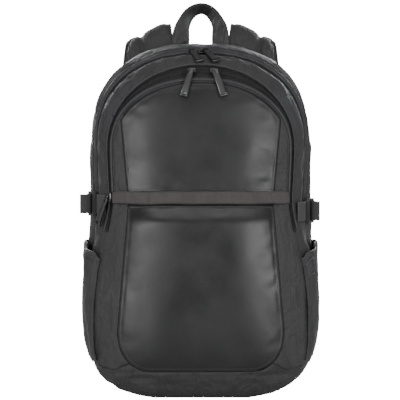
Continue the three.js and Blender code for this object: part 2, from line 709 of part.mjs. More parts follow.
// Heights of webbing over and under a lock, and the ends of its bars, along the strap from the lock's middle.
const webOut = lock.thickness / 2 + webbing.clearance + webbing.thickness / 2;
const barInner = lock.bar / 2;
const lockEnd = lock.slot + 1.5 * lock.bar;

// The adjustable web: under the front bar, up through the rear slot, back over the middle bar and out as the tail.
function adjustableRoute(reach, tail) {
  const turn = barInner + webbing.clearance + webbing.thickness / 2;
  return [
    ...reach,
    [lockEnd + 3, -webOut], [0, -webOut], [-turn + 0.4, -webOut + 0.4], [-turn, -webOut + 1.4], [-turn, webOut - 1.4],
    [-turn + 0.4, webOut - 0.4], [-turn + 1.4, webOut], [turn + 1, webOut + 0.4], [turn + 2.6, webOut + 2],
    [turn + 3.2, webOut + tail * 0.4], [turn + 3, webOut + tail],
  ];
}

// The fixed web: round the rear bar and sewn down on itself, then on to its seam.
function fixedRoute(reach) {
  const turn = barInner + lock.slot - webbing.clearance - webbing.thickness / 2;
  const rear = lockEnd + 2;
  return [
    [-rear - 9, -webOut + webbing.thickness + webbing.clearance], [-rear - 3, -webOut + 3],
    [-rear + 1, webOut - 0.5], [-lockEnd + 1, webOut], [-turn - 1.2, webOut], [-turn, webOut - 1.2],
    [-turn, -webOut + 1.2], [-turn - 1.2, -webOut], [-lockEnd, -webOut], ...reach,
  ];
}

function sideStrapParts(sign, { height: z, tail }) {
  // The side widens downwards, so the webbing clears it at its lower edge.
  const u = uAtHeight(z - webbing.width / 2);
  const vAt = (depth) => {
    const stops = seams.map((row) => reachAt(row, z));
    const band = clamp(stops.findIndex((stop) => stop > depth) - 1, 0, rimV - 1);
    return band + clamp((depth - stops[band]) / (stops[band + 1] - stops[band]), 0, 1);
  };
  const wallAt = (depth) => {
    const p = surfacePoint(u, vAt(depth));
    return new THREE.Vector2(p.x, -p.y);
  };
  const rear = wallAt(sideStrap.lockDepth - lockEnd);
  const fore = wallAt(sideStrap.lockDepth + lockEnd);
  const forward = fore.clone().sub(rear).normalize();
  const outward = new THREE.Vector2(forward.y, -forward.x);
  const stand = webOut + webbing.thickness / 2 + webbing.clearance + 1;
  const middle = rear.clone().lerp(fore, 0.5).addScaledVector(outward, stand);
  const place = (along, out) => {
    const p = middle.clone().addScaledVector(forward, along).addScaledVector(outward, out);
    return new THREE.Vector3(sign * p.x, -p.y, z);
  };
  const onWall = (depth) => {
    const lifted = liftedPoint(u, vAt(depth), webbing.thickness / 2 + 2 * gap);
    const p = new THREE.Vector2(lifted.x, -lifted.y).sub(middle);
    return [p.dot(forward), p.dot(outward)];
  };
  const across = new THREE.Vector3(0, 0, 1);
  const { width, thickness } = webbing;
  const reach = steps(sideStrap.anchorDepth, sideStrap.lockDepth + 2 * lockEnd, 3).map(onWall);
  const foreRoute = adjustableRoute(reach, tail);
  const rearRoute = fixedRoute([30, 20, 10, 3].map(onWall));
  return {
    fore: ribbon(foreRoute, place, across, width, thickness),
    rear: ribbon(rearRoute, place, across, width, thickness),
    lock: placed(ladderLock(), place(1, 0).sub(place(0, 0)), across, place(0, 0)),
  };
}

// Shoulder straps, as stations from the root behind the bag's top to the lower end. x is a share of the spread,
// behind of the stand, z of the peak, and lean is the tilt across the width in degrees.
const strapStations = [
  { x: 0.96, behind: 0.108, z: 0.885, lean: -22 },
  { x: 0.98, behind: 0.122, z: 0.925, lean: -25 },
  { x: 1.0, behind: 0.18, z: 0.962, lean: -27 },
  { x: 1.01, behind: 0.37, z: 0.989, lean: -27 },
  { x: 1.02, behind: 0.6, z: 0.998, lean: -26 },
  { x: 1.04, behind: 0.8, z: 0.985, lean: -23 },
  { x: 1.07, behind: 0.94, z: 0.952, lean: -18 },
  { x: 1.11, behind: 1.01, z: 0.9, lean: -12 },
  { x: 1.17, behind: 1.04, z: 0.83, lean: -6 },
  { x: 1.25, behind: 1.02, z: 0.755, lean: -3 },
  { x: 1.35, behind: 0.97, z: 0.68, lean: 0 },
  { x: 1.46, behind: 0.9, z: 0.605, lean: 0 },
  { x: 1.56, behind: 0.83, z: 0.53, lean: 0 },
  { x: 1.65, behind: 0.77, z: 0.455, lean: 0 },
  { x: 1.71, behind: 0.73, z: 0.39, lean: 0 },
];

function strapSection(narrow) {
  const width = shoulderStrap.width * narrow;
  const edge = (shoulderStrap.thickness * shoulderStrap.piping) / 2;
  const thick = shoulderStrap.thickness / 2;
  // The sewn line along the strap, nearer its outer edge, where the padding is pressed thin.
  const sewn = 0.2;
  return [
    [-0.5 * width, -edge], [-0.42 * width, -thick], [(sewn - 0.05) * width, -thick], [sewn * width, -edge],
    [(sewn + 0.05) * width, -thick * 0.86], [0.45 * width, -thick * 0.8], [0.5 * width, -edge * 0.8],
    [0.5 * width, edge * 0.8], [0.45 * width, thick * 0.8], [(sewn + 0.05) * width, thick * 0.86],
    [sewn * width, edge], [(sewn - 0.05) * width, thick], [-0.42 * width, thick], [-0.5 * width, edge],
  ];
}

const strapPoint = (station, sign) => new THREE.Vector3(
  sign * station.x * shoulderStrap.spread,
  backFace + station.behind * shoulderStrap.stand,
  station.z * shoulderStrap.peak,
);

function shoulderPad(sign) {
  const stations = strapStations.map((station, i) => {
    const lean = THREE.MathUtils.degToRad(station.lean);
    return {
      at: strapPoint(station, sign),
      across: new THREE.Vector3(Math.cos(lean), 0, sign * Math.sin(lean)),
      narrow: mix(1, 0.74, ease((i - 8) / 6)),
    };
  });
  return sweep(stations, ({ narrow }) => {
    const section = strapSection(narrow);
    return sign > 0 ? section : section.map(([a, n]) => [-a, n]).reverse();
  });
}

// Below each pad a ladder lock hangs on a short web, and the lower web runs from it to the bag's bottom corner.
const lowerEnd = strapStations.at(-1);
const anchor = { x: 122, z: 58 };
function lowerStrapParts(sign) {
  const padEnd = strapPoint(lowerEnd, sign);
  const corner = new THREE.Vector3(sign * anchor.x, backFace + webbing.thickness, anchor.z);
  const down = corner.clone().sub(padEnd).normalize();
  const across = new THREE.Vector3(1, 0, 0).addScaledVector(down, -down.x).normalize();
  const outward = new THREE.Vector3().crossVectors(across, down).normalize();
  if (outward.y < 0) outward.negate();
  const middle = padEnd.clone().addScaledVector(down, lockEnd + 19);
  const place = (along, out) => middle.clone().addScaledVector(down, along).addScaledVector(outward, out);
  const reach = corner.clone().sub(middle).length();
  const { width, thickness } = webbing;
  const cornerOut = corner.clone().sub(middle).dot(outward);
  const foreRoute = adjustableRoute([[reach, cornerOut], [reach * 0.6, -webOut - 0.2]], 6);
  const tailEnd = [[lockEnd + 14, webOut + 9], [lockEnd + 50, webOut + 9.5], [lockEnd + 84, webOut + 7]];
  const rearRoute = fixedRoute([[-lockEnd - 6, -webOut], [-lockEnd - 15.3, -webOut]]);
  return {
    web: ribbon([...foreRoute.slice(0, -2), ...tailEnd], place, across, width, thickness),
    loop: ribbon(rearRoute, place, across, width, thickness),
    lock: placed(ladderLock(), down, across, middle),
  };
}

// The carry handle: a flat band sewn to the back at both ends, its top tilted so that its underside shows.
const handleStations = [
  { x: -0.96, z: 0, turn: 0 }, { x: -0.96, z: 0.3, turn: 0 }, { x: -0.96, z: 0.54, turn: 0 },
  { x: -0.93, z: 0.7, turn: 0.1 }, { x: -0.7, z: 0.865, turn: 0.5 }, { x: -0.38, z: 0.96, turn: 0.85 },
  { x: 0.02, z: 1, turn: 1 }, { x: 0.4, z: 0.972, turn: 0.9 }, { x: 0.72, z: 0.88, turn: 0.55 },
  { x: 0.94, z: 0.74, turn: 0.2 }, { x: 1, z: 0.587, turn: 0 }, { x: 0.99, z: 0.3, turn: 0 },
  { x: 0.96, z: 0, turn: 0 },
];

function carryHandle() {
  const { half: reach, peak, width, thickness, tilt, root } = handle;
  const y = backFace + gap + thickness / 2;
  const points = handleStations.map((s) => new THREE.Vector3(s.x * reach, y, mix(root, peak, s.z)));
  const stations = handleStations.map((s, i) => {
    const along = points[Math.min(i + 1, points.length - 1)].clone().sub(points[Math.max(i - 1, 0)]).normalize();
    const inPlane = new THREE.Vector3(along.z, 0, -along.x);
    const angle = THREE.MathUtils.degToRad(tilt * s.turn);
    const tipped = new THREE.Vector3(0, Math.sin(angle), 0);
    return { at: points[i], across: inPlane.multiplyScalar(Math.cos(angle)).add(tipped) };
  });
  return sweep(stations, flatSection(width, thickness));
}

// Zip sliders with their pull tabs. v is the zip's or the surface's v, x says where on the crown or z at which height
// on a side. stand is the tab's clearance over its slider, and tip says where the tab's free end points and how far
// that stands off what it lies on.
const pulls = [
  { name: "main_left", stand: 1.6, x: -13, v: 1.5, tip: { x: -4, v: 2.72, lift: 0.8 } },
  { name: "main_right", stand: 1.6, x: 4, v: 1.5, tip: { x: 16, v: 2.7, lift: 0.8 } },
  { name: "mid_left", stand: 1.6, x: -12, v: 3.5, tip: { x: -25, v: 4.168, lift: 3.2 } },
  { name: "mid_right", stand: 1.6, x: 17, v: 3.5, tip: { x: 33, v: 4.148, lift: 3.2 } },
  { name: "pocket", stand: 0.6, z: flap.height, v: 3.5, tip: { z: flap.height - 42, v: 2.75, lift: 5 } },
];

// u of a row that gives an x on the crown or a height on the left side.
const uOfRow = (row) => (row.z ? 3 - uAtHeight(row.z) : uAtCrown(row.x, row.v));

const sliderBase = zip.coil - zip.recess + gap;

// A slider lying on its zip, its length along the seam.
function zipSlider(row) {
  const { v } = row;
  const u = uOfRow(row);
  const normal = surfaceNormal(u, v).normalize();
  const along = surfacePoint(u + 0.01, v).sub(surfacePoint(u - 0.01, v)).normalize();
  const across = new THREE.Vector3().crossVectors(normal, along).normalize();
  const { length, width, height } = slider;
  const shape = new THREE.Shape();
  shape.moveTo(-length / 2, -width * 0.36);
  shape.lineTo(length * 0.1, -width / 2);
  shape.lineTo(length / 2, -width * 0.3);
  shape.lineTo(length / 2, width * 0.3);
  shape.lineTo(length * 0.1, width / 2);
  shape.lineTo(-length / 2, width * 0.36);
  const geometry = new THREE.ExtrudeGeometry(shape, { depth: height, bevelEnabled: false });
  const at = liftedPoint(u, v, sliderBase);
  return placed(toSolid(geometry), along, across, at);
}

// A flat tab, its length along X from the slider and its thickness along Z.
function tabPlate() {
  const { length, width, thickness, hole } = pull;
  const wide = width / 2;
  const outline = [
    [0, -wide * 0.62], [length * 0.25, -wide], [length - 2, -wide], [length, -wide + 2], [length, wide - 2],
    [length - 2, wide], [length * 0.25, wide], [0, wide * 0.62],
  ];
  const shape = new THREE.Shape(outline.map(([x, y]) => new THREE.Vector2(x, y)));
  const opening = new THREE.Path();
  opening.absellipse(hole, 0, hole / 2, hole / 2, 0, 2 * Math.PI, true);
  shape.holes.push(opening);
  return toSolid(new THREE.ExtrudeGeometry(shape, { depth: thickness, bevelEnabled: false, curveSegments: 3 }));
}

function pullTab(row) {
  const { tip } = row;
  const root = liftedPoint(uOfRow(row), row.v, sliderBase + slider.height + row.stand);
  const tipU = uOfRow(tip);
  const along = liftedPoint(tipU, tip.v, tip.lift).sub(root).normalize();
  const across = new THREE.Vector3().crossVectors(surfaceNormal(tipU, tip.v), along).normalize();
  return placed(tabPlate(), along, across, root);
}

// Assembly
const backpack = new THREE.Group();
const body = new THREE.Group();
backpack.add(body);

function add(name, shape, look) {
  const geometry = shape.isBufferGeometry ? shape : toGeometry(shape);
  const material = new THREE.MeshStandardMaterial(finish[look]);
  const mesh = new THREE.Mesh(geometry, material);
  mesh.name = name;
  body.add(mesh);
  return mesh;
}

const bothSides = sideStraps.map((strap) => [strap.side, strap.side === "left" ? -1 : 1, strap]);

add("boot", bootSolid(), "cloth");
add("main_gusset", mainGusset(), "cloth");
add("mid_gusset", midGusset(), "cloth");
add("main_zip", zipArch(seam.mainZipRear, zipBand, zip.mainEnd), "zip");
add("mid_zip", zipArch(seam.midZipRear, rimBand, zip.midEnd), "zip");
add("front_piping", frontPiping(), "trim");
add("upper_leather", shell.intersect(aboveFlap).intersect(prism(leatherUpperOutline(-gap))), "leather");
add("lower_leather", shell.intersect(belowFlap).intersect(prism(leatherLowerOutline(-gap))), "leather");
add("pocket_flap", pocketFlap(), "flap");
add("back_panel", backBoard(), "mesh");
add("lumbar_pad", lumbarCushion(), "mesh");
add("carry_handle", carryHandle(), "trim");
for (const [side, sign, strapSizes] of bothSides) {
  add(`upper_strip_${side}`, upperStrip(sign), "cloth");
  add(`lower_border_${side}`, lowerBorder(sign), "cloth");
  add(`side_pocket_${side}`, pocketWall(sign), "cloth");
  add(`back_pad_${side}`, backCushion(sign), "mesh");
  add(`shoulder_strap_${side}`, shoulderPad(sign), "cloth");
  const strap = sideStrapParts(sign, strapSizes);
  add(`side_strap_fore_${side}`, strap.fore, "webbing");
  add(`side_strap_rear_${side}`, strap.rear, "webbing");
  add(`side_strap_lock_${side}`, strap.lock, "lock");
  const lower = lowerStrapParts(sign);
  add(`lower_web_${side}`, lower.web, "webbing");
  add(`strap_loop_${side}`, lower.loop, "webbing");
  add(`strap_lock_${side}`, lower.lock, "lock");
}

for (const row of pulls) {
  add(`slider_${row.name}`, zipSlider(row), "slider");
  add(`pull_${row.name}`, pullTab(row), "pull");
}
add("pocket_tag", pocketTag(), "trim");

// The group is moved so that the middle of the bag's box is at x = 0, y = 0 and its base at z = 0.
const box = new THREE.Box3().setFromObject(body);
const centre = box.getCenter(new THREE.Vector3());
body.position.set(-centre.x, -centre.y, -box.min.z);

export default backpack;
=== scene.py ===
"""The looks of a laptop backpack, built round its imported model: sewn cloth bands, leather panels, zips,
side pockets, padded back and shoulder straps, webbing and moulded locks. Laid out as an add-on and run as
a script."""
import math
from types import SimpleNamespace

import bmesh
import bpy
import numpy as np
from bpy.props import FloatProperty, FloatVectorProperty, PointerProperty
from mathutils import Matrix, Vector

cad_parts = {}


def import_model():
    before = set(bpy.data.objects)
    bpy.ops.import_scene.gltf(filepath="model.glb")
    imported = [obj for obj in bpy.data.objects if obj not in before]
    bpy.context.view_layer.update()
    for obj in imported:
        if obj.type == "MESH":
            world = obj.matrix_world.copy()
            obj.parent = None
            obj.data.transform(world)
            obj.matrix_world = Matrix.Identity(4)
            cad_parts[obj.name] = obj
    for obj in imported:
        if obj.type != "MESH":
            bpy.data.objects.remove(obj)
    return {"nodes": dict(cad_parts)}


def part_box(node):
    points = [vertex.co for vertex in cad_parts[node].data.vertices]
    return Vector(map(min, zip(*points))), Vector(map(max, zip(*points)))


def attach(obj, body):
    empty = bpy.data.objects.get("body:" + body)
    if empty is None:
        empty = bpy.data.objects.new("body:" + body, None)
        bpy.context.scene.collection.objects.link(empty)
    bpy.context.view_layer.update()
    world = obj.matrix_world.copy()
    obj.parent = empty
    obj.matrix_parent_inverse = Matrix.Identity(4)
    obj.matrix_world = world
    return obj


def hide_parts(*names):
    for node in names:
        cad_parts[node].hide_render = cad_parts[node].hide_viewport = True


bl_info = {
    "name": "Laptop backpack",
    "version": (1, 0, 0),
    "blender": (4, 5, 0),
    "location": "View3D > Sidebar > Backpack",
    "description": "Dresses a laptop backpack's packed model in cloth, leather, zips and webbing",
    "category": "Add Mesh",
}

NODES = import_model()["nodes"]
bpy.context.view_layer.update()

# Sizes in millimetres, the same as in the part's source
BAG = SimpleNamespace(
    width=292, height=452, depth=130, shoulder=322, waist=250, hip=99,
    foot_power=3.9, foot_sag=10, pressed_flat=3.6,
)
FRONT = SimpleNamespace(
    lower_bulge=31, upper_bulge=15, side_power=3.4, end_power=6, middle=215,
    piping_width=5, piping_radius=1.35,
)
FLAP = SimpleNamespace(height=256.5, width=17, lift=2.2, bulge=17)
LOWER_LEATHER = SimpleNamespace(top_half=93, hip_half=106.5, hip_height=88, bottom=35, corner=44)
UPPER_LEATHER = SimpleNamespace(bottom_half=94, top_half=103, top_height=360)
BOOT = SimpleNamespace(side_seam=46, front_seam=37, corner_x=110, corner_top=46, corner_top_x=90)
ZIP = SimpleNamespace(main_end=241, mid_end=212, recess=2.4, tooth_pitch=1.7)
SLIDER = SimpleNamespace(length=11, width=8, height=4.2, base=-0.5)
PULL = SimpleNamespace(length=38, width=10, thickness=2.4, hole=3.4)
POCKET = SimpleNamespace(
    floor=47, rim_front=177, rim_back=197, back_v=0.16, front_v=3.8, span=130, hem=9,
    clearance=0.9, fullness=2.2, rim_fullness=9, wall=1.6,
)
WEBBING = SimpleNamespace(width=25, thickness=1.5, clearance=0.35)
LOCK = SimpleNamespace(height=32, bar=4, slot=5.4, thickness=4)
SIDE_STRAP = SimpleNamespace(lock_depth=62, anchor_depth=106)
SIDE_STRAPS = {"left": (FLAP.height - 9.5, 15), "right": (FLAP.height - 18.5, 11.5)}
BACK_PANEL = SimpleNamespace(thickness=9, inset=2)
BACK_PAD = SimpleNamespace(thickness=11, channel=30, inner_top=405, bottom=128, outer_half=118, corner=30)
LUMBAR_PAD = SimpleNamespace(bottom=46, top=116, half=100, thickness=13, corner=26)
SHOULDER_STRAP = SimpleNamespace(width=58, thickness=13, spread=66, peak=467, stand=62)
HANDLE = SimpleNamespace(half=26, peak=500, width=21, thickness=4, tilt=34, root=432)
TAG = SimpleNamespace(back_v=2.72, front_v=3.66, t=0.8, height=19, span=30)
GAP = 0.3
SIDES = {"left": -1, "right": 1}

# Seam lines from back to front: reach low down and at the top as shares of the depth, half widths as shares
# of half the width, top and foot as shares of the height, and how square the crown is
SEAM_FIELDS = ("low", "high", "shoulder", "waist", "hip", "top", "foot", "crown")
SEAM_ROWS = (
    (0, 0, 0.959, 0.964, 0.994, 1, 0, 2.5),
    (0.54, 0.48, 0.935, 0.918, 0.985, 0.981, 0, 2.35),
    (0.6, 0.545, 0.913, 0.896, 0.976, 0.972, 0, 2.3),
    (0.94, 0.77, 0.82, 0.8, 0.952, 0.944, 0.002, 2.03),
    (1, 0.83, 0.8, 0.785, 0.932, 0.909, 0.011, 2.17),
)
SEAMS = [SimpleNamespace(**dict(zip(SEAM_FIELDS, row))) for row in SEAM_ROWS]
BACK, MAIN_REAR, MAIN_FRONT, MID_REAR, RIM = range(5)
BELLY = np.array([5, 0, 4.5, 0])
# Dents in the front: place as shares of half width and height, reach and depth as shares of the lower bulge
DENTS = (
    (0.6, 0.65, 0.6, 0.11),
    (-0.62, 0.655, 0.5, 0.06),
    (-0.5, 0.05, 0.55, 0.12),
    (0.46, 0.055, 0.6, 0.14),
)

# Distances from a seam at which a panel has rows of points
SEAM_STEPS = (0, 0.35, 0.9, 1.7, 2.7, 3.5, 4.5, 6.5, 10)
PIPING_SHARE = FRONT.piping_width / (BAG.width / 2)
THREAD_ROW = 3.2  # how far a row of thread runs from its seam
THREAD_LIFT = 0.25
FLAP_FOOT = FLAP.height - FLAP.width / 2
UPPER_FOOT = FLAP.height + FLAP.width / 2 - 2  # where the pieces above the flap start, tucked under it


# Small maths on arrays
def mix(a, b, t):
    return a + (b - a) * t


def ease(t):
    s = np.clip(t, 0, 1)
    return s * s * (3 - 2 * s)


def power(x, p):
    return np.sign(x) * np.abs(x) ** p


def unit(vectors):
    return vectors / np.maximum(np.linalg.norm(vectors, axis=-1, keepdims=True), 1e-9)


def arc_length(points, axis=0):
    """Distances walked along a path, or along one axis of a grid of points."""
    steps = np.linalg.norm(np.diff(points, axis=axis), axis=-1)
    start = np.zeros_like(np.take(steps, [0], axis))
    return np.concatenate([start, np.cumsum(steps, axis=axis)], axis=axis)


def values_at(at, length, values):
    """Every column of an array at given distances along a path."""
    return np.stack([np.interp(at, length, column) for column in values.T], -1)


def bent_line(points, count):
    """A curve from the first point to the last, drawn towards the two between them."""
    start, first, second, stop = (np.array(point, float) for point in points)
    t = np.linspace(0, 1, count)[:, None]
    return start * (1 - t) ** 3 + 3 * first * t * (1 - t) ** 2 + 3 * second * t**2 * (1 - t) + stop * t**3


def spread(total, inner, steps=SEAM_STEPS):
    """Distances across a strip from one seam to the other, close together near both."""
    total = np.atleast_1d(np.asarray(total, float))
    edge = np.asarray(steps, float)[:, None] * np.minimum(1, total / (3 * steps[-1]))
    share = np.linspace(0, 1, inner + 2)[1:-1, None]
    core = edge[-1] + (total - 2 * edge[-1]) * share
    return np.concatenate([edge, core, total - edge[::-1]])


def resampled(path, pitch, *others):
    """A path and the arrays that go with it, at even steps along it."""
    length = arc_length(path)
    count = max(int(round(length[-1] / pitch)), 2)
    at = np.linspace(0, length[-1], count + 1)
    return [values_at(at, length, values) for values in (path, *others)]


def smooth_path(points, per_span=6):
    """A curve through the points, rounded between them."""
    points = np.asarray(points, float)
    padded = np.vstack([2 * points[0] - points[1], points, 2 * points[-1] - points[-2]])
    t = np.linspace(0, 1, per_span, endpoint=False)[:, None]
    spans = []
    for a, b, c, d in zip(padded, padded[1:], padded[2:], padded[3:]):
        square = 2 * a - 5 * b + 4 * c - d
        cube = 3 * b - a - 3 * c + d
        spans.append(0.5 * (2 * b + (c - a) * t + square * t**2 + cube * t**3))
    return np.vstack([*spans, points[-1:]])


def waves(points, seed, wavelength, count=7):
    """Smooth irregular waves over points in millimetres, between about -1 and 1."""
    rng = np.random.default_rng(seed)
    direction = unit(rng.normal(size=(count, points.shape[-1])))
    number = 2 * np.pi / (wavelength * rng.uniform(0.6, 1.6, count))
    phase = rng.uniform(0, 2 * np.pi, count)
    return np.sin(points @ (direction * number[:, None]).T + phase).sum(-1) / math.sqrt(2 * count)


# The bag's outer surface, in the part's own frame: x to the right, y back from the back seam, z up
def side_half(line, z):
    high = ease((z - BAG.waist) / (BAG.shoulder - BAG.waist))
    low = ease(np.maximum((BAG.waist - z) / (BAG.waist - BAG.hip), 0) ** 0.75)
    above = z >= BAG.waist
    share = mix(line.waist, np.where(above, line.shoulder, line.hip), np.where(above, high, low))
    return BAG.width / 2 * share


def reach_at(line, z):
    return BAG.depth * mix(line.low, line.high, ease(z / BAG.height))


def seam_point(line, u):
    """A seam's point: u to 1 is the right side, to 2 the top, to 3 the left side, to 4 the underside."""
    turn = np.mod(u, 4)
    leg = np.floor(turn)
    t = turn - leg
    half, top, foot = BAG.width / 2, line.top * BAG.height, line.foot * BAG.height - BAG.pressed_flat
    side_z = mix(BAG.hip, BAG.shoulder, np.where(leg == 0, t, 1 - t))
    side_x = np.where(leg == 0, 1, -1) * side_half(line, side_z)
    cos, sin = np.cos(np.pi * t), np.abs(np.sin(np.pi * t))
    crown_x = half * line.shoulder * power(cos, 2 / line.crown)
    crown_z = BAG.shoulder + (top - BAG.shoulder) * power(sin, 2 / line.crown)
    drop = power(sin, 2 / BAG.foot_power)
    out = -power(cos, 2 / BAG.foot_power)
    foot_z = BAG.hip - (BAG.hip - foot) * drop + BAG.foot_sag * out**2 * drop
    x = np.select([leg == 1, leg == 3], [crown_x, half * line.hip * out], side_x)
    z = np.select([leg == 1, leg == 3], [crown_z, foot_z], side_z)
    return np.stack([x, -reach_at(line, z), np.maximum(z, 0)], -1)


def seam_table(line):
    u = np.linspace(3.5, 5.5, 6001)
    points = seam_point(line, u)
    return SimpleNamespace(u=u - 4, x=points[:, 0], z=points[:, 2])


TABLES = [seam_table(line) for line in SEAMS]


def half_at(index, z):
    return np.interp(z, TABLES[index].z, TABLES[index].x)


def u_at_height(z, index=BACK):
    return np.interp(z, TABLES[index].z, TABLES[index].u)


def front_reach(x, z):
    """How far forward the front panel stands at x and z."""
    rim = SEAMS[RIM]
    top, foot = rim.top * BAG.height, rim.foot * BAG.height - BAG.pressed_flat
    across = np.clip(np.abs(x) / np.maximum(half_at(RIM, z), 1), 0, 1)
    far = np.where(z > FRONT.middle, top, foot)
    along = np.clip((z - FRONT.middle) / (far - FRONT.middle), 0, 1)
    upper = ease((z - FLAP.height) / (2 * FLAP.width))
    lower = ease((FLAP.height - z) / (2 * FLAP.width))
    fullness = FLAP.bulge + (FRONT.upper_bulge - FLAP.bulge) * upper
    fullness = fullness + (FRONT.lower_bulge - FLAP.bulge) * lower
    crown = (1 - across**FRONT.side_power) * (1 - along**FRONT.end_power)
    pressed = 0
    for place_x, place_z, reach, depth in DENTS:
        away = np.hypot(x - place_x * BAG.width / 2, z - place_z * BAG.height) / (reach * FRONT.lower_bulge)
        pressed = pressed + depth * FRONT.lower_bulge * np.exp(-away * away)
    return reach_at(rim, z) + crown * (fullness - pressed)


def front_point(x, z):
    return np.stack([x, -front_reach(x, z), z], -1)


def front_normal(x, z, step=1.0):
    slope_x = (front_reach(x + step, z) - front_reach(x - step, z)) / (2 * step)
    slope_z = (front_reach(x, z + step) - front_reach(x, z - step)) / (2 * step)
    return unit(np.stack([-slope_x, -np.ones_like(slope_x), -slope_z], -1))


def surface_point(u, v):
    """v counts the seams from the back, and past the last one it runs in to the middle of the front."""
    u, v = np.broadcast_arrays(np.asarray(u, float), np.asarray(v, float))
    lines = np.stack([seam_point(line, u) for line in SEAMS])
    band = np.clip(np.floor(v), 0, RIM - 1).astype(int)
    t = np.clip(v - band, 0, 1)
    low = np.take_along_axis(lines, band[None, ..., None], 0)[0]
    high = np.take_along_axis(lines, band[None, ..., None] + 1, 0)[0]
    point = mix(low, high, t[..., None])
    swell = BELLY[band] * np.sin(np.pi * t) * ease(point[..., 2] / BAG.hip)
    rise = (point[..., 2] - FRONT.middle) * (point[..., 2] > BAG.shoulder)
    away = unit(np.stack([point[..., 0], np.zeros_like(rise), rise], -1))
    point = point + away * swell[..., None]
    inward = 1 - (v - RIM)
    x = lines[RIM][..., 0] * inward
    z = mix(FRONT.middle, lines[RIM][..., 2], inward)
    return np.where((v > RIM)[..., None], front_point(x, z), point)


def band_normal(band, u, v, step=0.02):
    """Outward normal of one band of the surface, taken within that band alone."""
    low, high = np.clip(v - step, band, band + 1), np.clip(v + step, band, band + 1)
    inside = np.clip(v, band + 1e-6, band + 1 - 1e-6)
    along = surface_point(u + step / 2, inside) - surface_point(u - step / 2, inside)
    floor = band + 1e-6
    across = surface_point(u, np.maximum(high, floor)) - surface_point(u, np.maximum(low, floor))
    return unit(np.cross(along, across))


def surface_normal(u, v, near=0.1):
    """Outward normal that turns smoothly into the shared direction at each seam."""
    u, v = np.broadcast_arrays(np.asarray(u, float), np.asarray(v, float))
    normal = np.zeros(u.shape + (3,))
    for band in range(RIM + 1):
        here = np.clip(np.floor(v), 0, RIM) == band
        if here.any():
            normal[here] = band_normal(band, u[here], v[here])
    for seam in range(RIM + 1):
        close = np.abs(v - seam) < near
        if close.any():
            at = np.full(close.sum(), float(seam))
            after = band_normal(seam, u[close], at)
            before = band_normal(seam - 1, u[close], at) if seam else np.array([0.0, 1.0, 0.0])
            share = ease(1 - np.abs(v[close] - seam) / near)[:, None]
            normal[close] = unit(mix(normal[close], unit(before + after), share))
    return normal


def boot_line(x):
    """Height of the boot's top seam at a distance from the middle."""
    far = (0, BOOT.corner_top_x, BOOT.corner_x, BAG.width / 2)
    return np.interp(np.abs(x), far, (BOOT.corner_top, BOOT.corner_top, BOOT.front_seam, BOOT.side_seam))


def boot_u_table():
    u = np.linspace(-0.5, 0, 1501)
    found = []
    for v in np.linspace(0, RIM, 41):
        points = surface_point(u, np.full_like(u, v))
        found.append(np.interp(0, points[:, 2] - boot_line(points[:, 0]), u))
    return np.array(found)


BOOT_U = boot_u_table()


def boot_u(v):
    return np.interp(v, np.linspace(0, RIM, len(BOOT_U)), BOOT_U)


def leather_outline(count=24):
    """The lower leather's outline in x and z, from its top right round the bottom to its top left."""
    shape = LOWER_LEATHER
    corner = bent_line([
        (shape.hip_half, shape.hip_height), (shape.hip_half, mix(shape.hip_height, shape.bottom, 0.62)),
        (shape.hip_half - shape.corner * 0.4, shape.bottom), (shape.hip_half - shape.corner, shape.bottom),
    ], count)
    right = np.vstack([[(shape.top_half, FLAP_FOOT)], corner])
    return np.vstack([right, right[::-1] * (-1, 1)])


def outline_distance(x, z, outline):
    """Distance from points to a closed outline."""
    start, stop = outline, np.roll(outline, -1, axis=0)
    side = stop - start
    to = np.stack([x, z], -1)[..., None, :] - start
    t = np.clip((to * side).sum(-1) / np.maximum((side * side).sum(-1), 1e-9), 0, 1)
    return np.linalg.norm(to - side * t[..., None], axis=-1).min(-1)


def creases(points, seed, wavelength):
    """Folds with sharp tops, as in thin nylon, between about -1 and 1."""
    bent = waves(points, seed, wavelength)
    return 1 - 2 * np.sqrt(bent * bent + 0.02) + 0.4 * waves(points, seed + 1, wavelength * 0.45)


# What sewing does to a panel
def seam_drop(distance, depth=2.4, radius=2.6):
    """How far a panel turns down into its seam."""
    t = np.clip(1 - distance / radius, 0, 1)
    return -depth * (1 - np.sqrt(1 - t * t))


def groove(distance, depth=0.35, reach=0.7):
    return -depth * np.exp(-((distance / reach) ** 2))


def puckers(distance, along, seed, height=0.3, wavelength=11, fade=7):
    """Small gathers that a row of stitches draws into the cloth beside it."""
    line = np.asarray(along, float)[..., None] * np.array([1.0, 0.0])
    return height * np.exp(-distance / fade) * waves(line, seed, wavelength)


# Objects and meshes
MM = 0.001
ORIGIN = np.array([
    (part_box("back_pad_left")[0].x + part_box("back_pad_right")[1].x) / 2,
    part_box("back_panel")[0].y,
    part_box("back_pad_right")[1].z - BACK_PAD.inner_top * MM,
])


def to_world(points):
    return np.asarray(points, float) * MM + ORIGIN


def grid_faces(rows, columns, closed=False):
    spans = columns if closed else columns - 1
    i, j = np.meshgrid(np.arange(rows - 1), np.arange(spans), indexing="ij")
    a, b = i * columns + j, i * columns + (j + 1) % columns
    return np.stack([a, b, b + columns, a + columns], -1).reshape(-1, 4)


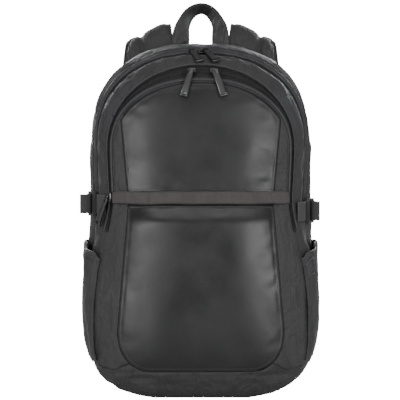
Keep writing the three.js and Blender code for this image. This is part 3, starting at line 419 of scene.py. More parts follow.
def new_piece(name, points, faces, materials, slot, replaces=(), kinds=None):
    """A mesh object in the frame, riding on the bag. kinds gives each face's material."""
    mesh = bpy.data.meshes.new(name)
    mesh.from_pydata(to_world(points).reshape(-1, 3).tolist(), [], [list(map(int, face)) for face in faces])
    for key in [materials] if isinstance(materials, str) else materials:
        mesh.materials.append(finish(key))
    if kinds is not None:
        mesh.polygons.foreach_set("material_index", np.asarray(kinds, np.int32))
    mesh.polygons.foreach_set("use_smooth", np.ones(len(mesh.polygons), bool))
    mesh.update()
    piece = bpy.data.objects.new(name, mesh)
    bpy.context.scene.collection.objects.link(piece)
    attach(piece, "root")
    if replaces:
        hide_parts(*replaces)
    return piece


def new_sheet(name, points, outward, materials, slot, replaces=(), wall=1.4, kinds=None, closed=False):
    """A panel from a grid of points, with its wall on the inside. kinds is a grid of one fewer each way."""
    rows, columns = points.shape[:2]
    faces = grid_faces(rows, columns, closed)
    flat, out = points.reshape(-1, 3), outward.reshape(-1, 3)
    a, b, c, d = (flat[faces[:, k]] for k in range(4))
    if (np.cross(c - a, d - b) * out[faces[:, 0]]).sum() < 0:
        faces = faces[:, ::-1]
    kinds = None if kinds is None else np.asarray(kinds).reshape(-1)
    piece = new_piece(name, flat, faces, materials, slot, replaces, kinds)
    solid = piece.modifiers.new("wall", "SOLIDIFY")
    solid.thickness = wall * MM
    solid.offset = -1
    return piece


def new_solid(name, rings, materials, slot, replaces=(), capped=True):
    """A closed solid swept through rings of points."""
    rings = np.asarray(rings)
    count, around = rings.shape[:2]
    faces = [list(face) for face in grid_faces(count, around, closed=True)]
    if capped:
        faces += [list(range(around))[::-1], list(range((count - 1) * around, count * around))]
    piece = new_piece(name, rings, faces, materials, slot, replaces)
    face_out(piece)
    return piece


def face_out(piece):
    """Turns a closed mesh's faces to point out."""
    work = bmesh.new()
    work.from_mesh(piece.data)
    bmesh.ops.recalc_face_normals(work, faces=work.faces)
    work.to_mesh(piece.data)
    work.free()


def soften(piece, width, segments=2, angle=30):
    """Rounds a hard edge a little, as moulding and trimming do."""
    bevel = piece.modifiers.new("softened edges", "BEVEL")
    bevel.width = width * MM
    bevel.segments = segments
    bevel.limit_method = "ANGLE"
    bevel.angle_limit = math.radians(angle)
    bevel.harden_normals = True


def sweep_frames(centres, across):
    """Directions along, across and out of a strip at each of its stations."""
    ahead = np.vstack([centres[1:], centres[-1:]])
    behind = np.vstack([centres[:1], centres[:-1]])
    along = unit(ahead - behind)
    out = unit(np.cross(along, across))
    return along, unit(np.cross(out, along)), out


def sweep_rings(centres, across, sections):
    _, side, out = sweep_frames(centres, across)
    return centres[:, None] + sections[..., :1] * side[:, None] + sections[..., 1:] * out[:, None]


def bead(name, path, radius, material, slot, sides=8, **more):
    """A thin round cord of piping or thread core laid along a path."""
    path = np.asarray(path, float)
    along = unit(np.gradient(path, axis=0))
    help_axis = np.where(np.abs(along[:, 2:]) < 0.9, [[0.0, 0.0, 1.0]], [[1.0, 0.0, 0.0]])
    side = unit(np.cross(along, help_axis))
    turn = np.linspace(0, 2 * np.pi, sides, endpoint=False)
    ends = np.minimum(np.arange(len(path)), np.arange(len(path))[::-1])
    size = radius * np.minimum(1, 0.35 + 0.65 * ends / 2)
    other = np.cross(side, along)
    ring = np.cos(turn)[None, :, None] * side[:, None] + np.sin(turn)[None, :, None] * other[:, None]
    return new_solid(name, path[:, None] + size[:, None, None] * ring, material, slot, **more)


def capsules(name, centres, along, out, length, radius, material, slot, sides=6, flatten=0.8):
    """Many small rounded bars in one mesh, such as stitches or zip teeth."""
    side = np.cross(along, out)
    turn = np.linspace(0, 2 * np.pi, sides, endpoint=False)
    rings = []
    for place, size in ((-0.5, 0.35), (-0.36, 1), (0.36, 1), (0.5, 0.35)):
        sideways = np.cos(turn)[None, :, None] * side[:, None]
        outward = flatten * np.sin(turn)[None, :, None] * out[:, None]
        rings.append((centres + along * place * length)[:, None] + size * radius * (sideways + outward))
    points = np.stack(rings, 1).reshape(-1, 3)
    single = [list(face) for face in grid_faces(4, sides, closed=True)]
    single += [list(range(sides))[::-1], list(range(3 * sides, 4 * sides))]
    faces = [[k + 4 * sides * i for k in face] for i in range(len(centres)) for face in single]
    piece = new_piece(name, points, faces, material, slot)
    face_out(piece)
    return piece


def stitches(name, runs, slot="trim"):
    """Rows of thread. Each run is a path and the outward direction along it."""
    sewing = bpy.context.scene.backpack_sewing
    centres, along, out = [], [], []
    for path, outward in runs:
        path, outward = resampled(np.asarray(path), sewing.pitch / MM, np.asarray(outward))
        centres.append((path[1:] + path[:-1]) / 2)
        along.append(unit(path[1:] - path[:-1]))
        out.append(unit(outward[1:] + outward[:-1]))
    return capsules(
        name, np.vstack(centres), np.vstack(along), np.vstack(out),
        sewing.length / MM, sewing.thread / MM / 2, "thread", slot,
    )


def constant_line(value):
    """A line of the surface that keeps to one value of v."""
    def line(u):
        return np.full(np.shape(u), float(value))

    return line


# Strips of the bag's surface between two seams
class Strip:
    """A stretch of the surface between two lines of v, and along it between two limits of u."""

    def __init__(self, low, high, start, stop, spacing=2.4):
        self.low = low if callable(low) else constant_line(low)
        self.high = high if callable(high) else constant_line(high)
        self.start, self.stop = start, stop
        share = np.linspace(0, 1, 1600)
        middle = (float(self.low(0.5)) + float(self.high(0.5))) / 2
        rough = mix(start(middle), stop(middle), share)
        length = arc_length(surface_point(rough, np.full_like(rough, middle)))
        self.along = spread(length[-1], int(length[-1] / spacing))[:, 0]
        self.length = length[-1]
        self.share = np.interp(self.along, length, share)
        u = mix(start(middle), stop(middle), self.share)
        self.v_low, self.v_high = self.low(u), self.high(u)
        self.width = np.linalg.norm(surface_point(u, self.v_high) - surface_point(u, self.v_low), axis=-1)

    def rows(self, across):
        """The strip at given distances from its rear seam: a grid of u, v, points and distances."""
        across = np.broadcast_to(np.asarray(across, float), (np.shape(across)[0], len(self.along)))
        v = mix(self.v_low, self.v_high, across / self.width)
        u = mix(self.start(v), self.stop(v), self.share)
        v = np.clip(v, 0, RIM + 0.999)
        return SimpleNamespace(
            points=surface_point(u, v), normal=surface_normal(u, v), rear=across, front=self.width - across,
            along=np.broadcast_to(self.along, across.shape),
            end=np.minimum(self.along, self.length - self.along) + 0 * across,
        )

    def grid(self, inner, steps=SEAM_STEPS):
        return self.rows(spread(self.width, inner, steps))

    def run(self, relief, from_rear=None, from_front=None, lift=THREAD_LIFT):
        """A line along the strip for thread or a bead, and its outward directions."""
        across = np.full(self.width.shape, from_rear) if from_front is None else self.width - from_front
        row = self.rows(across[None])
        return (row.points + row.normal * (relief(row) + lift)[..., None])[0], row.normal[0]


def lifted(grid, relief):
    return grid.points + grid.normal * relief(grid)[..., None]


def middle_of(values):
    """Values at the middle of each face of a grid."""
    return (values[1:, 1:] + values[:-1, :-1]) / 2


def slant_distance(grid, rear_at, front_at):
    """Distance from a cross seam that runs from a place on the rear seam to one on the front seam."""
    share = grid.rear / np.maximum(grid.rear + grid.front, 1e-6)
    return np.abs(grid.along - mix(rear_at, front_at, share))


def along_at(strip, z, sign, v):
    """Distance along a strip at which it reaches a height on one side."""
    u = float(u_at_height(z))
    if sign < 0:
        u = 3 - u
    share = (u - strip.start(v)) / (strip.stop(v) - strip.start(v))
    return float(np.interp(share, strip.share, strip.along))


def right_boot(v):
    return boot_u(v)


def left_boot(v):
    return 3 - boot_u(v)


# Materials
def new_group(name, inputs, outputs):
    """A shader node group with named sockets. Each row gives name, kind and, for inputs, the default."""
    group = bpy.data.node_groups.new(name, "ShaderNodeTree")
    for label, kind, value in inputs:
        socket = group.interface.new_socket(label, in_out="INPUT", socket_type=kind)
        socket.default_value = value
    for label, kind in outputs:
        group.interface.new_socket(label, in_out="OUTPUT", socket_type=kind)
    start, end = group.nodes.new("NodeGroupInput"), group.nodes.new("NodeGroupOutput")
    return group, start, end


def put(tree, kind, links=(), **settings):
    """A node with its settings and the links into it, each a socket name or number and what feeds it."""
    node = tree.nodes.new(kind)
    for key, value in settings.items():
        setattr(node, key, value)
    for socket, source in links:
        if isinstance(source, bpy.types.NodeSocket):
            tree.links.new(source, node.inputs[socket])
        else:
            node.inputs[socket].default_value = source
    return node


def maths(tree, operation, a, b=0.0, c=0.0):
    return put(tree, "ShaderNodeMath", [(0, a), (1, b), (2, c)], operation=operation).outputs[0]


def facing_plane(tree):
    """Coordinates in the main plane that a surface faces, as two numbers in metres."""
    whole = put(tree, "ShaderNodeTexCoord").outputs["Object"]
    place = put(tree, "ShaderNodeSeparateXYZ", [(0, whole)]).outputs
    out = put(tree, "ShaderNodeNewGeometry").outputs["Normal"]
    facing = put(tree, "ShaderNodeSeparateXYZ", [(0, out)]).outputs
    size_x, size_y, size_z = (maths(tree, "ABSOLUTE", facing[k]) for k in range(3))
    sideways = maths(tree, "GREATER_THAN", size_x, size_y)
    upward = maths(tree, "GREATER_THAN", size_z, maths(tree, "MAXIMUM", size_x, size_y))
    first = put(tree, "ShaderNodeMix", [(0, sideways), (2, place[0]), (3, place[1])]).outputs[0]
    second = put(tree, "ShaderNodeMix", [(0, upward), (2, place[2]), (3, place[1])]).outputs[0]
    first = put(tree, "ShaderNodeMix", [(0, upward), (2, first), (3, place[0])]).outputs[0]
    return first, second


def weave_group():
    group, start, end = new_group(
        "Woven threads",
        [("Thread", "NodeSocketFloat", 0.0009), ("Slant", "NodeSocketFloat", 0.0)],
        [("Height", "NodeSocketFloat")],
    )
    across, up = facing_plane(group)
    across = maths(group, "MULTIPLY_ADD", up, start.outputs["Slant"], across)
    x, y = (maths(group, "DIVIDE", value, start.outputs["Thread"]) for value in (across, up))
    warp = maths(group, "ABSOLUTE", maths(group, "SINE", maths(group, "MULTIPLY", x, math.pi)))
    weft = maths(group, "ABSOLUTE", maths(group, "SINE", maths(group, "MULTIPLY", y, math.pi)))
    over = maths(group, "ADD", maths(group, "FLOOR", x), maths(group, "FLOOR", y))
    turn = maths(group, "ABSOLUTE", maths(group, "MODULO", over, 2.0))
    height = put(group, "ShaderNodeMix", [(0, turn), (2, warp), (3, weft)]).outputs[0]
    group.links.new(height, end.inputs["Height"])


def crumple_group():
    group, start, end = new_group(
        "Crumpled cloth",
        [("Folds", "NodeSocketFloat", 42.0)],
        [("Height", "NodeSocketFloat"), ("Hollow", "NodeSocketFloat")],
    )
    place = put(group, "ShaderNodeTexCoord").outputs["Object"]
    drawn = put(group, "ShaderNodeVectorMath", [(0, place), (1, (1.3, 0.9, 0.6))], operation="MULTIPLY")
    noise = put(
        group, "ShaderNodeTexNoise",
        [
            ("Vector", drawn.outputs[0]), ("Scale", start.outputs["Folds"]), ("Detail", 2.5),
            ("Roughness", 0.45), ("Distortion", 0.9),
        ],
    )
    deep = maths(group, "SUBTRACT", noise.outputs[0], 0.5)
    away = maths(group, "ABSOLUTE", deep)
    ridge = put(group, "ShaderNodeMapRange", [(0, away), (1, 0.0), (2, 0.14), (3, 1.0), (4, 0.0)])
    ridge.interpolation_type = "SMOOTHSTEP"
    group.links.new(ridge.outputs[0], end.inputs["Height"])
    # Painted shade: a mask of the fold hollows, which darkens the cloth's colour there
    painted_crease_shade = put(group, "ShaderNodeMapRange", [(0, deep), (1, 0.01), (2, 0.09), (3, 0.0), (4, 1.0)])
    group.links.new(painted_crease_shade.outputs[0], end.inputs["Hollow"])


def grain_group():
    group, start, end = new_group(
        "Leather grain",
        [("Cells", "NodeSocketFloat", 900.0)],
        [("Height", "NodeSocketFloat")],
    )
    place = put(group, "ShaderNodeTexCoord").outputs["Object"]
    stir = put(group, "ShaderNodeTexNoise", [("Vector", place), ("Scale", 260.0), ("Detail", 2.0)])
    bent = put(
        group, "ShaderNodeMix", [(0, 0.0012), (4, place), (5, stir.outputs["Color"])], data_type="VECTOR"
    )
    cells = put(
        group, "ShaderNodeTexVoronoi",
        [("Vector", bent.outputs[1]), ("Scale", start.outputs["Cells"])], feature="DISTANCE_TO_EDGE",
    )
    edge = put(group, "ShaderNodeMapRange", [(0, cells.outputs["Distance"]), (1, 0.0), (2, 0.16)])
    group.links.new(edge.outputs[0], end.inputs["Height"])


def handling_dust_highlight_group():
    group, start, end = new_group(
        "Handling and dust",
        [
            ("Color", "NodeSocketColor", (0.05, 0.05, 0.05, 1)),
            ("Variation", "NodeSocketFloat", 0.15),
            ("Dust", "NodeSocketFloat", 0.05),
            ("Patch", "NodeSocketFloat", 18.0),
        ],
        [("Color", "NodeSocketColor"), ("Rubbed", "NodeSocketFloat")],
    )
    place = put(group, "ShaderNodeTexCoord").outputs["Object"]
    patch = start.outputs["Patch"]
    broad = put(group, "ShaderNodeTexNoise", [("Vector", place), ("Scale", patch), ("Detail", 4.0)])
    fine = put(group, "ShaderNodeTexNoise", [("Vector", place), ("Scale", 420.0), ("Detail", 3.0)])
    both = put(group, "ShaderNodeMix", [(0, 0.35), (2, broad.outputs[0]), (3, fine.outputs[0])]).outputs[0]
    swing = maths(group, "MULTIPLY", maths(group, "SUBTRACT", both, 0.5), start.outputs["Variation"])
    surface = put(group, "ShaderNodeNewGeometry").outputs
    # Lighter on sharp convex edges: partly rubbed wear, partly a painted highlight along seams and edges
    sharp = surface["Pointiness"]
    rubbed_and_painted_edge_highlight = put(group, "ShaderNodeMapRange", [(0, sharp), (1, 0.51), (2, 0.62), (3, 1.0), (4, 1.5)])
    scale = maths(group, "MULTIPLY", maths(group, "MULTIPLY_ADD", swing, 4.0, 1.0), rubbed_and_painted_edge_highlight.outputs[0])
    varied = put(
        group, "ShaderNodeVectorMath", [(0, start.outputs["Color"]), ("Scale", scale)], operation="SCALE"
    ).outputs[0]
    up = put(group, "ShaderNodeSeparateXYZ", [(0, surface["Normal"])]).outputs[2]
    settled = put(group, "ShaderNodeMapRange", [(0, up), (1, 0.2), (2, 1.0)]).outputs[0]
    dusty = maths(group, "MULTIPLY", settled, fine.outputs[0])
    dusty = maths(group, "MULTIPLY", dusty, start.outputs["Dust"])
    dusted = put(
        group, "ShaderNodeMix", [(0, dusty), (6, varied), (7, (0.32, 0.31, 0.3, 1))], data_type="RGBA"
    ).outputs[2]
    group.links.new(dusted, end.inputs["Color"])
    group.links.new(broad.outputs[0], end.inputs["Rubbed"])


# Finishes: relief, crumple and a thread's width in millimetres, cells as grains to a metre
FINISHES = {
    "cloth": dict(
        color="cloth", roughness=0.58, thread=0.9, relief=0.16, crumple=0.9, sheen=0.08, variation=0.13,
        dust=0.05
    ),
    "ribbed": dict(
        color="cloth", shade=0.8, roughness=0.86, thread=2.1, slant=0.6, relief=0.5, sheen=0.06,
        variation=0.14, dust=0.05,
    ),
    "trim": dict(
        color="trim", roughness=0.5, thread=0.6, relief=0.07, crumple=0.5, sheen=0.08, variation=0.09,
        dust=0.04
    ),
    "flap": dict(
        color="flap", roughness=0.7, thread=0.8, relief=0.12, crumple=0.5, sheen=0.06, variation=0.1,
        dust=0.03
    ),
    "leather": dict(color="leather", roughness=0.37, cells=900, relief=0.006, variation=0.07, dust=0.01),
    "handle": dict(
        color="trim", shade=0.3, roughness=0.47, cells=800, relief=0.015, crumple=0.9, coat=0.1,
        variation=0.09, dust=0.01,
    ),
    "webbing": dict(
        color="webbing", roughness=0.8, thread=1.7, relief=0.35, sheen=0.06, variation=0.1, dust=0.04
    ),
    "mesh": dict(
        color="mesh", roughness=0.9, thread=3.0, slant=0.5, relief=1.1, sheen=0.08, variation=0.14,
        dust=0.04
    ),
    "tape": dict(color="tape", roughness=0.8, thread=0.7, relief=0.12, variation=0.1, dust=0.03),
    "teeth": dict(color="tape", shade=1.6, roughness=0.45, variation=0.06, dust=0.03),
    "thread": dict(color="trim", shade=0.9, roughness=0.6, variation=0.05, dust=0.02),
    # Near-black like the zip tape: painted shade in the seams' gaps
    "seam": dict(color="tape", roughness=0.9, variation=0.05, dust=0.0),
    "metal": dict(color="metal", roughness=0.3, metallic=0.9, variation=0.05, dust=0.02),
    "rubber": dict(color="rubber", roughness=0.5, cells=2600, relief=0.02, variation=0.06, dust=0.02),
    "moulded": dict(
        color="moulded", roughness=0.42, cells=1700, relief=0.02, coat=0.05, variation=0.05, dust=0.03
    ),
}
ROUGHNESS_SWING = 0.16
# How much the colour is darkened in the fold hollows, as painted shade
FOLD_SHADE = 0.1
CLOTH_GLOSS = 0.4
SMOOTH_GLOSS = 0.5


def new_material(name):
    """A material with its node tree and its surface shader."""
    material = bpy.data.materials.new(name)
    material.use_nodes = True
    tree = material.node_tree
    return material, tree, next(node for node in tree.nodes if node.type == "BSDF_PRINCIPLED")


def effect(tree, name):
    """A use of one of the shared effects."""
    node = tree.nodes.new("ShaderNodeGroup")
    node.node_tree = bpy.data.node_groups[name]
    return node


def finish(key):
    """The material of one row of the finishes, made when it is first asked for."""
    name = f"{key} finish"
    if name in bpy.data.materials:
        return bpy.data.materials[name]
    row = FINISHES[key]
    material, tree, shader = new_material(name)
    colour = getattr(bpy.context.scene.backpack_colours, row["color"])
    shade = row.get("shade", 1.0)
    handling_and_highlight = effect(tree, "Handling and dust")
    handling_and_highlight.inputs["Color"].default_value = (*(shade * c for c in colour), 1)
    handling_and_highlight.inputs["Variation"].default_value = row["variation"]
    handling_and_highlight.inputs["Dust"].default_value = row["dust"]
    tree.links.new(handling_and_highlight.outputs["Color"], shader.inputs["Base Color"])
    if "crumple" in row:
        folds = effect(tree, "Crumpled cloth")
        # Painted shade: the colour is darkened by FOLD_SHADE in the fold hollows
        left = maths(tree, "MULTIPLY_ADD", folds.outputs["Hollow"], -FOLD_SHADE, 1.0)
        shadow = put(
            tree, "ShaderNodeVectorMath", [(0, handling_and_highlight.outputs["Color"]), ("Scale", left)],
            operation="SCALE"
        )
        tree.links.new(shadow.outputs[0], shader.inputs["Base Color"])
    low, high = row["roughness"] - ROUGHNESS_SWING / 2, row["roughness"] + ROUGHNESS_SWING / 2
    rough = put(
        tree, "ShaderNodeMapRange",
        [(0, handling_and_highlight.outputs["Rubbed"]), (1, 0.3), (2, 0.7), (3, low), (4, min(high, 1.0))],
    )
    tree.links.new(rough.outputs[0], shader.inputs["Roughness"])
    shader.inputs["Metallic"].default_value = row.get("metallic", 0.0)
    shader.inputs["Specular IOR Level"].default_value = CLOTH_GLOSS if "sheen" in row else SMOOTH_GLOSS
    shader.inputs["Sheen Weight"].default_value = row.get("sheen", 0.0)
    shader.inputs["Sheen Roughness"].default_value = 0.4
    shader.inputs["Coat Weight"].default_value = row.get("coat", 0.0)
    shader.inputs["Coat Roughness"].default_value = 0.35
    if "relief" in row:
        if "thread" in row:
            surface = effect(tree, "Woven threads")
            surface.inputs["Thread"].default_value = row["thread"] * MM
            surface.inputs["Slant"].default_value = row.get("slant", 0.0)
        else:
            surface = effect(tree, "Leather grain")
            surface.inputs["Cells"].default_value = row["cells"]
        bump = put(
            tree, "ShaderNodeBump",
            [("Height", surface.outputs["Height"]), ("Distance", row["relief"] * MM), ("Strength", 0.8)],
        )
        if "crumple" in row:
            folded = put(
                tree, "ShaderNodeBump",
                [("Height", folds.outputs["Height"]), ("Distance", row["crumple"] * MM), ("Strength", 1.0)],
            )
            tree.links.new(folded.outputs[0], bump.inputs["Normal"])
        tree.links.new(bump.outputs[0], shader.inputs["Normal"])
    return material


# Bands of cloth round the bag
STRIP_WIDTH = 11  # of the smooth strip sewn in beside the main zip
RIBBED_PIECE = SimpleNamespace(bottom=364, top=428)
SMOOTH_PIECE = SimpleNamespace(bottom=346, top=402)


def main_band():
    """The broad band behind the main zip: a smooth strip by the zip and a ribbed piece on each shoulder."""
    strip = Strip(BACK, MAIN_REAR, right_boot, left_boot)
    seams = []
    for sign in (1, -1):
        for height in (RIBBED_PIECE.top, RIBBED_PIECE.bottom):
            at = along_at(strip, height, sign, 0.5)
            seams.append((at - 5 * sign, at + 7 * sign))

    def relief(grid):
        up = seam_drop(grid.rear, 2.0) + seam_drop(grid.front, 3.0) + seam_drop(grid.end)
        up = up + groove(grid.front - STRIP_WIDTH, 0.7, 0.8)
        up = up + groove(grid.front - THREAD_ROW) + groove(grid.rear - THREAD_ROW)
        up = up + puckers(grid.front, grid.along, 3) + puckers(grid.rear, grid.along, 4, 0.5)
        up = up + puckers(np.abs(grid.front - STRIP_WIDTH), grid.along, 5, 0.25, 9, 4)
        for start, stop in seams:
            away = slant_distance(grid, start, stop)
            up = up + groove(away, 0.9, 1.4) + puckers(away, grid.rear, 6, 0.3)
        low = ease((BAG.shoulder - grid.points[..., 2]) / 120)
        broad = np.minimum(1, np.minimum(grid.rear, grid.front) / 14)
        stretched = grid.points * (0.5, 1.0, 0.45)
        up = up + broad * (0.4 + 1.3 * low) * waves(stretched, 11, 34)
        return up + broad * 1.3 * creases(stretched, 12, 40)

    grid = strip.grid(13, (*SEAM_STEPS, 11, 12.2))
    front, z = middle_of(grid.front), middle_of(grid.points[..., 2])
    smooth = (front < STRIP_WIDTH) | (z > RIBBED_PIECE.top)
    ribbed = (z > RIBBED_PIECE.bottom) & (z < RIBBED_PIECE.top)
    kinds = np.where(smooth, 2, np.where(ribbed, 1, 0))
    new_sheet(
        "main_band", lifted(grid, relief), grid.normal, ["cloth", "ribbed", "trim"], "cloth",
        ["main_gusset"],
        kinds=kinds,
    )
    runs = []
    for distance in (THREAD_ROW, STRIP_WIDTH - 1.8, STRIP_WIDTH + 1.8):
        runs.append(strip.run(relief, from_front=distance))
    runs.append(strip.run(relief, from_rear=THREAD_ROW))
    stitches("main_band_stitches", runs)
    path, _ = strip.run(relief, from_rear=0.0, lift=1.4)
    bead("back_seam_piping", path, 1.7, "trim", "trim")


def mid_low_line(u):
    """Rear edge of the second band: at the main zip's front, and below the zip's end out to its rear."""
    height = seam_point(SEAMS[MAIN_REAR], u)[..., 2]
    return mix(MAIN_REAR, MAIN_FRONT, ease((height - ZIP.main_end + 3) / 6))


def mid_band():
    """The narrower band between the two long zips, pieced on both shoulders."""
    strip = Strip(mid_low_line, MID_REAR, right_boot, left_boot)
    places = ((398, 0, 1), (341, 9, 1), (404, 0, -1), (346, 9, -1))
    seams = []
    for z, slant, sign in places:
        at = along_at(strip, z, sign, 2.5)
        seams.append((at - slant * sign, at + slant * sign))

    def relief(grid):
        up = seam_drop(grid.rear, 3.0) + seam_drop(grid.front, 2.6) + seam_drop(grid.end)
        up = up + groove(grid.front - THREAD_ROW) + groove(grid.rear - THREAD_ROW)
        up = up + puckers(grid.front, grid.along, 13) + puckers(grid.rear, grid.along, 14, 0.4)
        for start, stop in seams:
            away = slant_distance(grid, start, stop)
            up = up + groove(away, 1.0, 1.3) + puckers(away, grid.rear, 16, 0.4)
        low = ease((BAG.shoulder - grid.points[..., 2]) / 100)
        broad = np.minimum(1, np.minimum(grid.rear, grid.front) / 12)
        stretched = grid.points * (0.6, 1.0, 0.5)
        up = up + broad * (0.5 + 1.2 * low) * waves(stretched, 21, 30)
        return up + broad * 1.3 * creases(stretched, 22, 26)

    grid = strip.grid(11)
    z = middle_of(grid.points[..., 2])
    kinds = np.where((z > SMOOTH_PIECE.bottom) & (z < SMOOTH_PIECE.top), 1, 0)
    new_sheet(
        "mid_band", lifted(grid, relief), grid.normal, ["cloth", "trim"], "cloth", ["mid_gusset"],
        kinds=kinds
    )
    runs = [strip.run(relief, from_front=THREAD_ROW), strip.run(relief, from_rear=THREAD_ROW)]
    stitches("mid_band_stitches", runs)
    path, _ = strip.run(relief, from_front=0.3, lift=1.7)
    bead("mid_band_edge", path[path[:, 2] > ZIP.mid_end], 1.1, "trim", "trim")


TOOTH = SimpleNamespace(length=2.9, radius=0.62)


def zip_row(name, rear, end, replaces):
    """A zip's tape in its recess, and the two rows of its coil."""
    right_end = float(u_at_height(end - 6))

    def start(_):
        return right_end

    def stop(_):
        return 3 - right_end

    strip = Strip(rear, rear + 1, start, stop, spacing=4)

    def relief(grid):
        return np.full(grid.rear.shape, -ZIP.recess - 0.3)

    grid = strip.grid(3, (0, 1.0))
    new_sheet(f"{name}_tape", lifted(grid, relief), grid.normal, "tape", "zip_tape", replaces, wall=0.8)
    centres, along, out = [], [], []
    half = strip.rows((strip.width / 2)[None])
    path = (half.points + half.normal * (relief(half) + 0.75)[..., None])[0]
    path, normal = resampled(path, ZIP.tooth_pitch, half.normal[0])
    ahead = unit(np.gradient(path, axis=0))
    side = unit(np.cross(ahead, normal))
    for sign, shift in ((-1, 0.0), (1, 0.5)):
        centres.append(path + side * sign * 1.15 + ahead * shift * ZIP.tooth_pitch)
        along.append(side)
        out.append(normal)
    capsules(
        f"{name}_teeth", np.vstack(centres), np.vstack(along), np.vstack(out), TOOTH.length, TOOTH.radius,
        "teeth", "zip_tape",
    )


def front_piping():
    """The corded edge round the front above the flap."""
    end = float(u_at_height(UPPER_FOOT))
    u = np.linspace(end, 3 - end, 420)
    v = np.full_like(u, RIM + PIPING_SHARE / 2)
    normal = surface_normal(u, v)
    tape_v = RIM + PIPING_SHARE * np.array([-0.01, 0.5, 1.0, 1.7])[:, None]
    tape_u = np.broadcast_to(u[::3], (4, len(u[::3])))
    out = surface_normal(tape_u, tape_v)
    under = surface_point(tape_u, np.broadcast_to(tape_v, tape_u.shape)) - out * 1.3
    new_sheet("front_cord_tape", under, out, "trim", "trim", wall=0.8)
    path, normal = resampled(surface_point(u, v), 2.0, normal)
    bead(
        "front_cord", path + normal * 0.1, FRONT.piping_radius, "trim", "trim", sides=12,
        replaces=["front_piping"],
    )


# The front
LEATHER_THREAD_ROW = 4.2
SEAM_FILL = SimpleNamespace(depth=2.6, radius=1.9)


def fill_seam(name, points, normals):
    """A cord for the folded cloth inside a seam, so that nothing shows through it, coloured near-black as
    painted shade in the seam's gap.
    """
    bead(name, points - normals * SEAM_FILL.depth, SEAM_FILL.radius, "seam", "trim")


def leather_sheet(name, x, z, outline, replaces, seed):
    """A leather panel from grids of x and z, turned down and stitched along its whole outline."""
    edge = outline_distance(x, z, outline)
    points, normal = front_point(x, z), front_normal(x, z)

    def relief(x, z, edge):
        place = np.stack([x, z], -1)
        up = seam_drop(edge, 1.9, 2.6) + groove(edge - LEATHER_THREAD_ROW, 0.3, 0.8)
        up = up - 0.1 * np.exp(-edge / 6)
        return up + 0.2 * np.exp(-edge / 10) * waves(place, seed, 15)

    sides = np.minimum(x - x[:, :1], x[:, -1:] - x)
    ends = np.minimum(z - z[:1], z[-1:] - z)
    inside = ease(sides / 35) * ease(ends / 35)
    slack = 0.45 * waves(np.stack([x, 0.8 * z], -1), seed + 1, 90)
    near = ease(sides / 8) * ease(ends / 8) * (1 - inside)
    pulled = 0.4 * creases(np.stack([0.5 * x, z], -1), seed + 2, 30)
    lift = relief(x, z, edge) + inside * slack + near * pulled
    new_sheet(name, points + normal * lift[..., None], normal, "leather", "leather", replaces, wall=2)
    inset = inset_outline(outline, LEATHER_THREAD_ROW)
    dense, = resampled(np.vstack([inset, inset[:1]]), 2.0)
    px, pz = dense[:, 0], dense[:, 1]
    base, out = front_point(px, pz), front_normal(px, pz)
    lift = relief(px, pz, outline_distance(px, pz, outline)) + 0.2
    stitches(f"{name}_stitches", [(base + out * lift[:, None], out)], "leather")
    around, = resampled(np.vstack([outline, outline[:1]]), 4.0)
    px, pz = around[:, 0], around[:, 1]
    fill_seam(f"{name}_seam", front_point(px, pz), front_normal(px, pz))


def inset_outline(outline, amount):
    """A closed outline moved in by an amount."""
    following, before = np.roll(outline, -1, axis=0), np.roll(outline, 1, axis=0)
    along = unit(following - before)
    normal = np.stack([-along[:, 1], along[:, 0]], -1)
    area = 0.5 * (outline[:, 0] * following[:, 1] - following[:, 0] * outline[:, 1]).sum()
    return outline + normal * amount * np.sign(area)


def lower_leather():
    shape = LOWER_LEATHER
    outline = leather_outline()
    top = FLAP_FOOT
    half = shape.hip_half
    right = outline[(outline[:, 0] > 0) & (outline[:, 1] <= shape.hip_height)]
    right = right[np.argsort(right[:, 0])]
    across = spread(2 * half, 44)[:, 0] - half
    bottom = np.interp(np.abs(across), right[:, 0], right[:, 1])
    share = spread(top - shape.bottom, 48)[:, 0] / (top - shape.bottom)
    z = mix(bottom[None, :], top, share[:, None])
    side = np.interp(z, (shape.hip_height, top), (half, shape.top_half))
    x = across[None, :] / half * side
    leather_sheet("lower_leather_panel", x, z, outline, ["lower_leather"], 31)


def arch_inside():
    """The front piping's inner edge, as x and z points from right to left."""
    u = np.linspace(0, 3, 900)
    points = surface_point(u, np.full_like(u, RIM + PIPING_SHARE + 0.003))
    return points[:, [0, 2]]


def upper_leather():
    shape = UPPER_LEATHER
    low = UPPER_FOOT
    arch = arch_inside()
    crown = arch[(arch[:, 1] > BAG.shoulder) & (arch[:, 0] >= 0)]
    crown = crown[np.argsort(crown[:, 0])]
    half = shape.top_half
    across = spread(2 * half, 44)[:, 0] - half
    height = np.interp(0, crown[:, 0], crown[:, 1]) - low
    share = spread(height, 34)[:, 0] / height
    top = np.interp(np.abs(across), crown[:, 0], crown[:, 1])
    z = mix(low, top[None, :], share[:, None])
    side = np.interp(z, (low, shape.top_height), (shape.bottom_half, half))
    x = across[None, :] / half * side
    outline = np.vstack([
        np.stack([x[0], z[0]], -1), np.stack([x[:, -1], z[:, -1]], -1)[1:],
        np.stack([x[-1], z[-1]], -1)[::-1][1:], np.stack([x[:, 0], z[:, 0]], -1)[::-1][1:-1],
    ])
    leather_sheet("upper_leather_panel", x, z, outline, ["upper_leather"], 41)


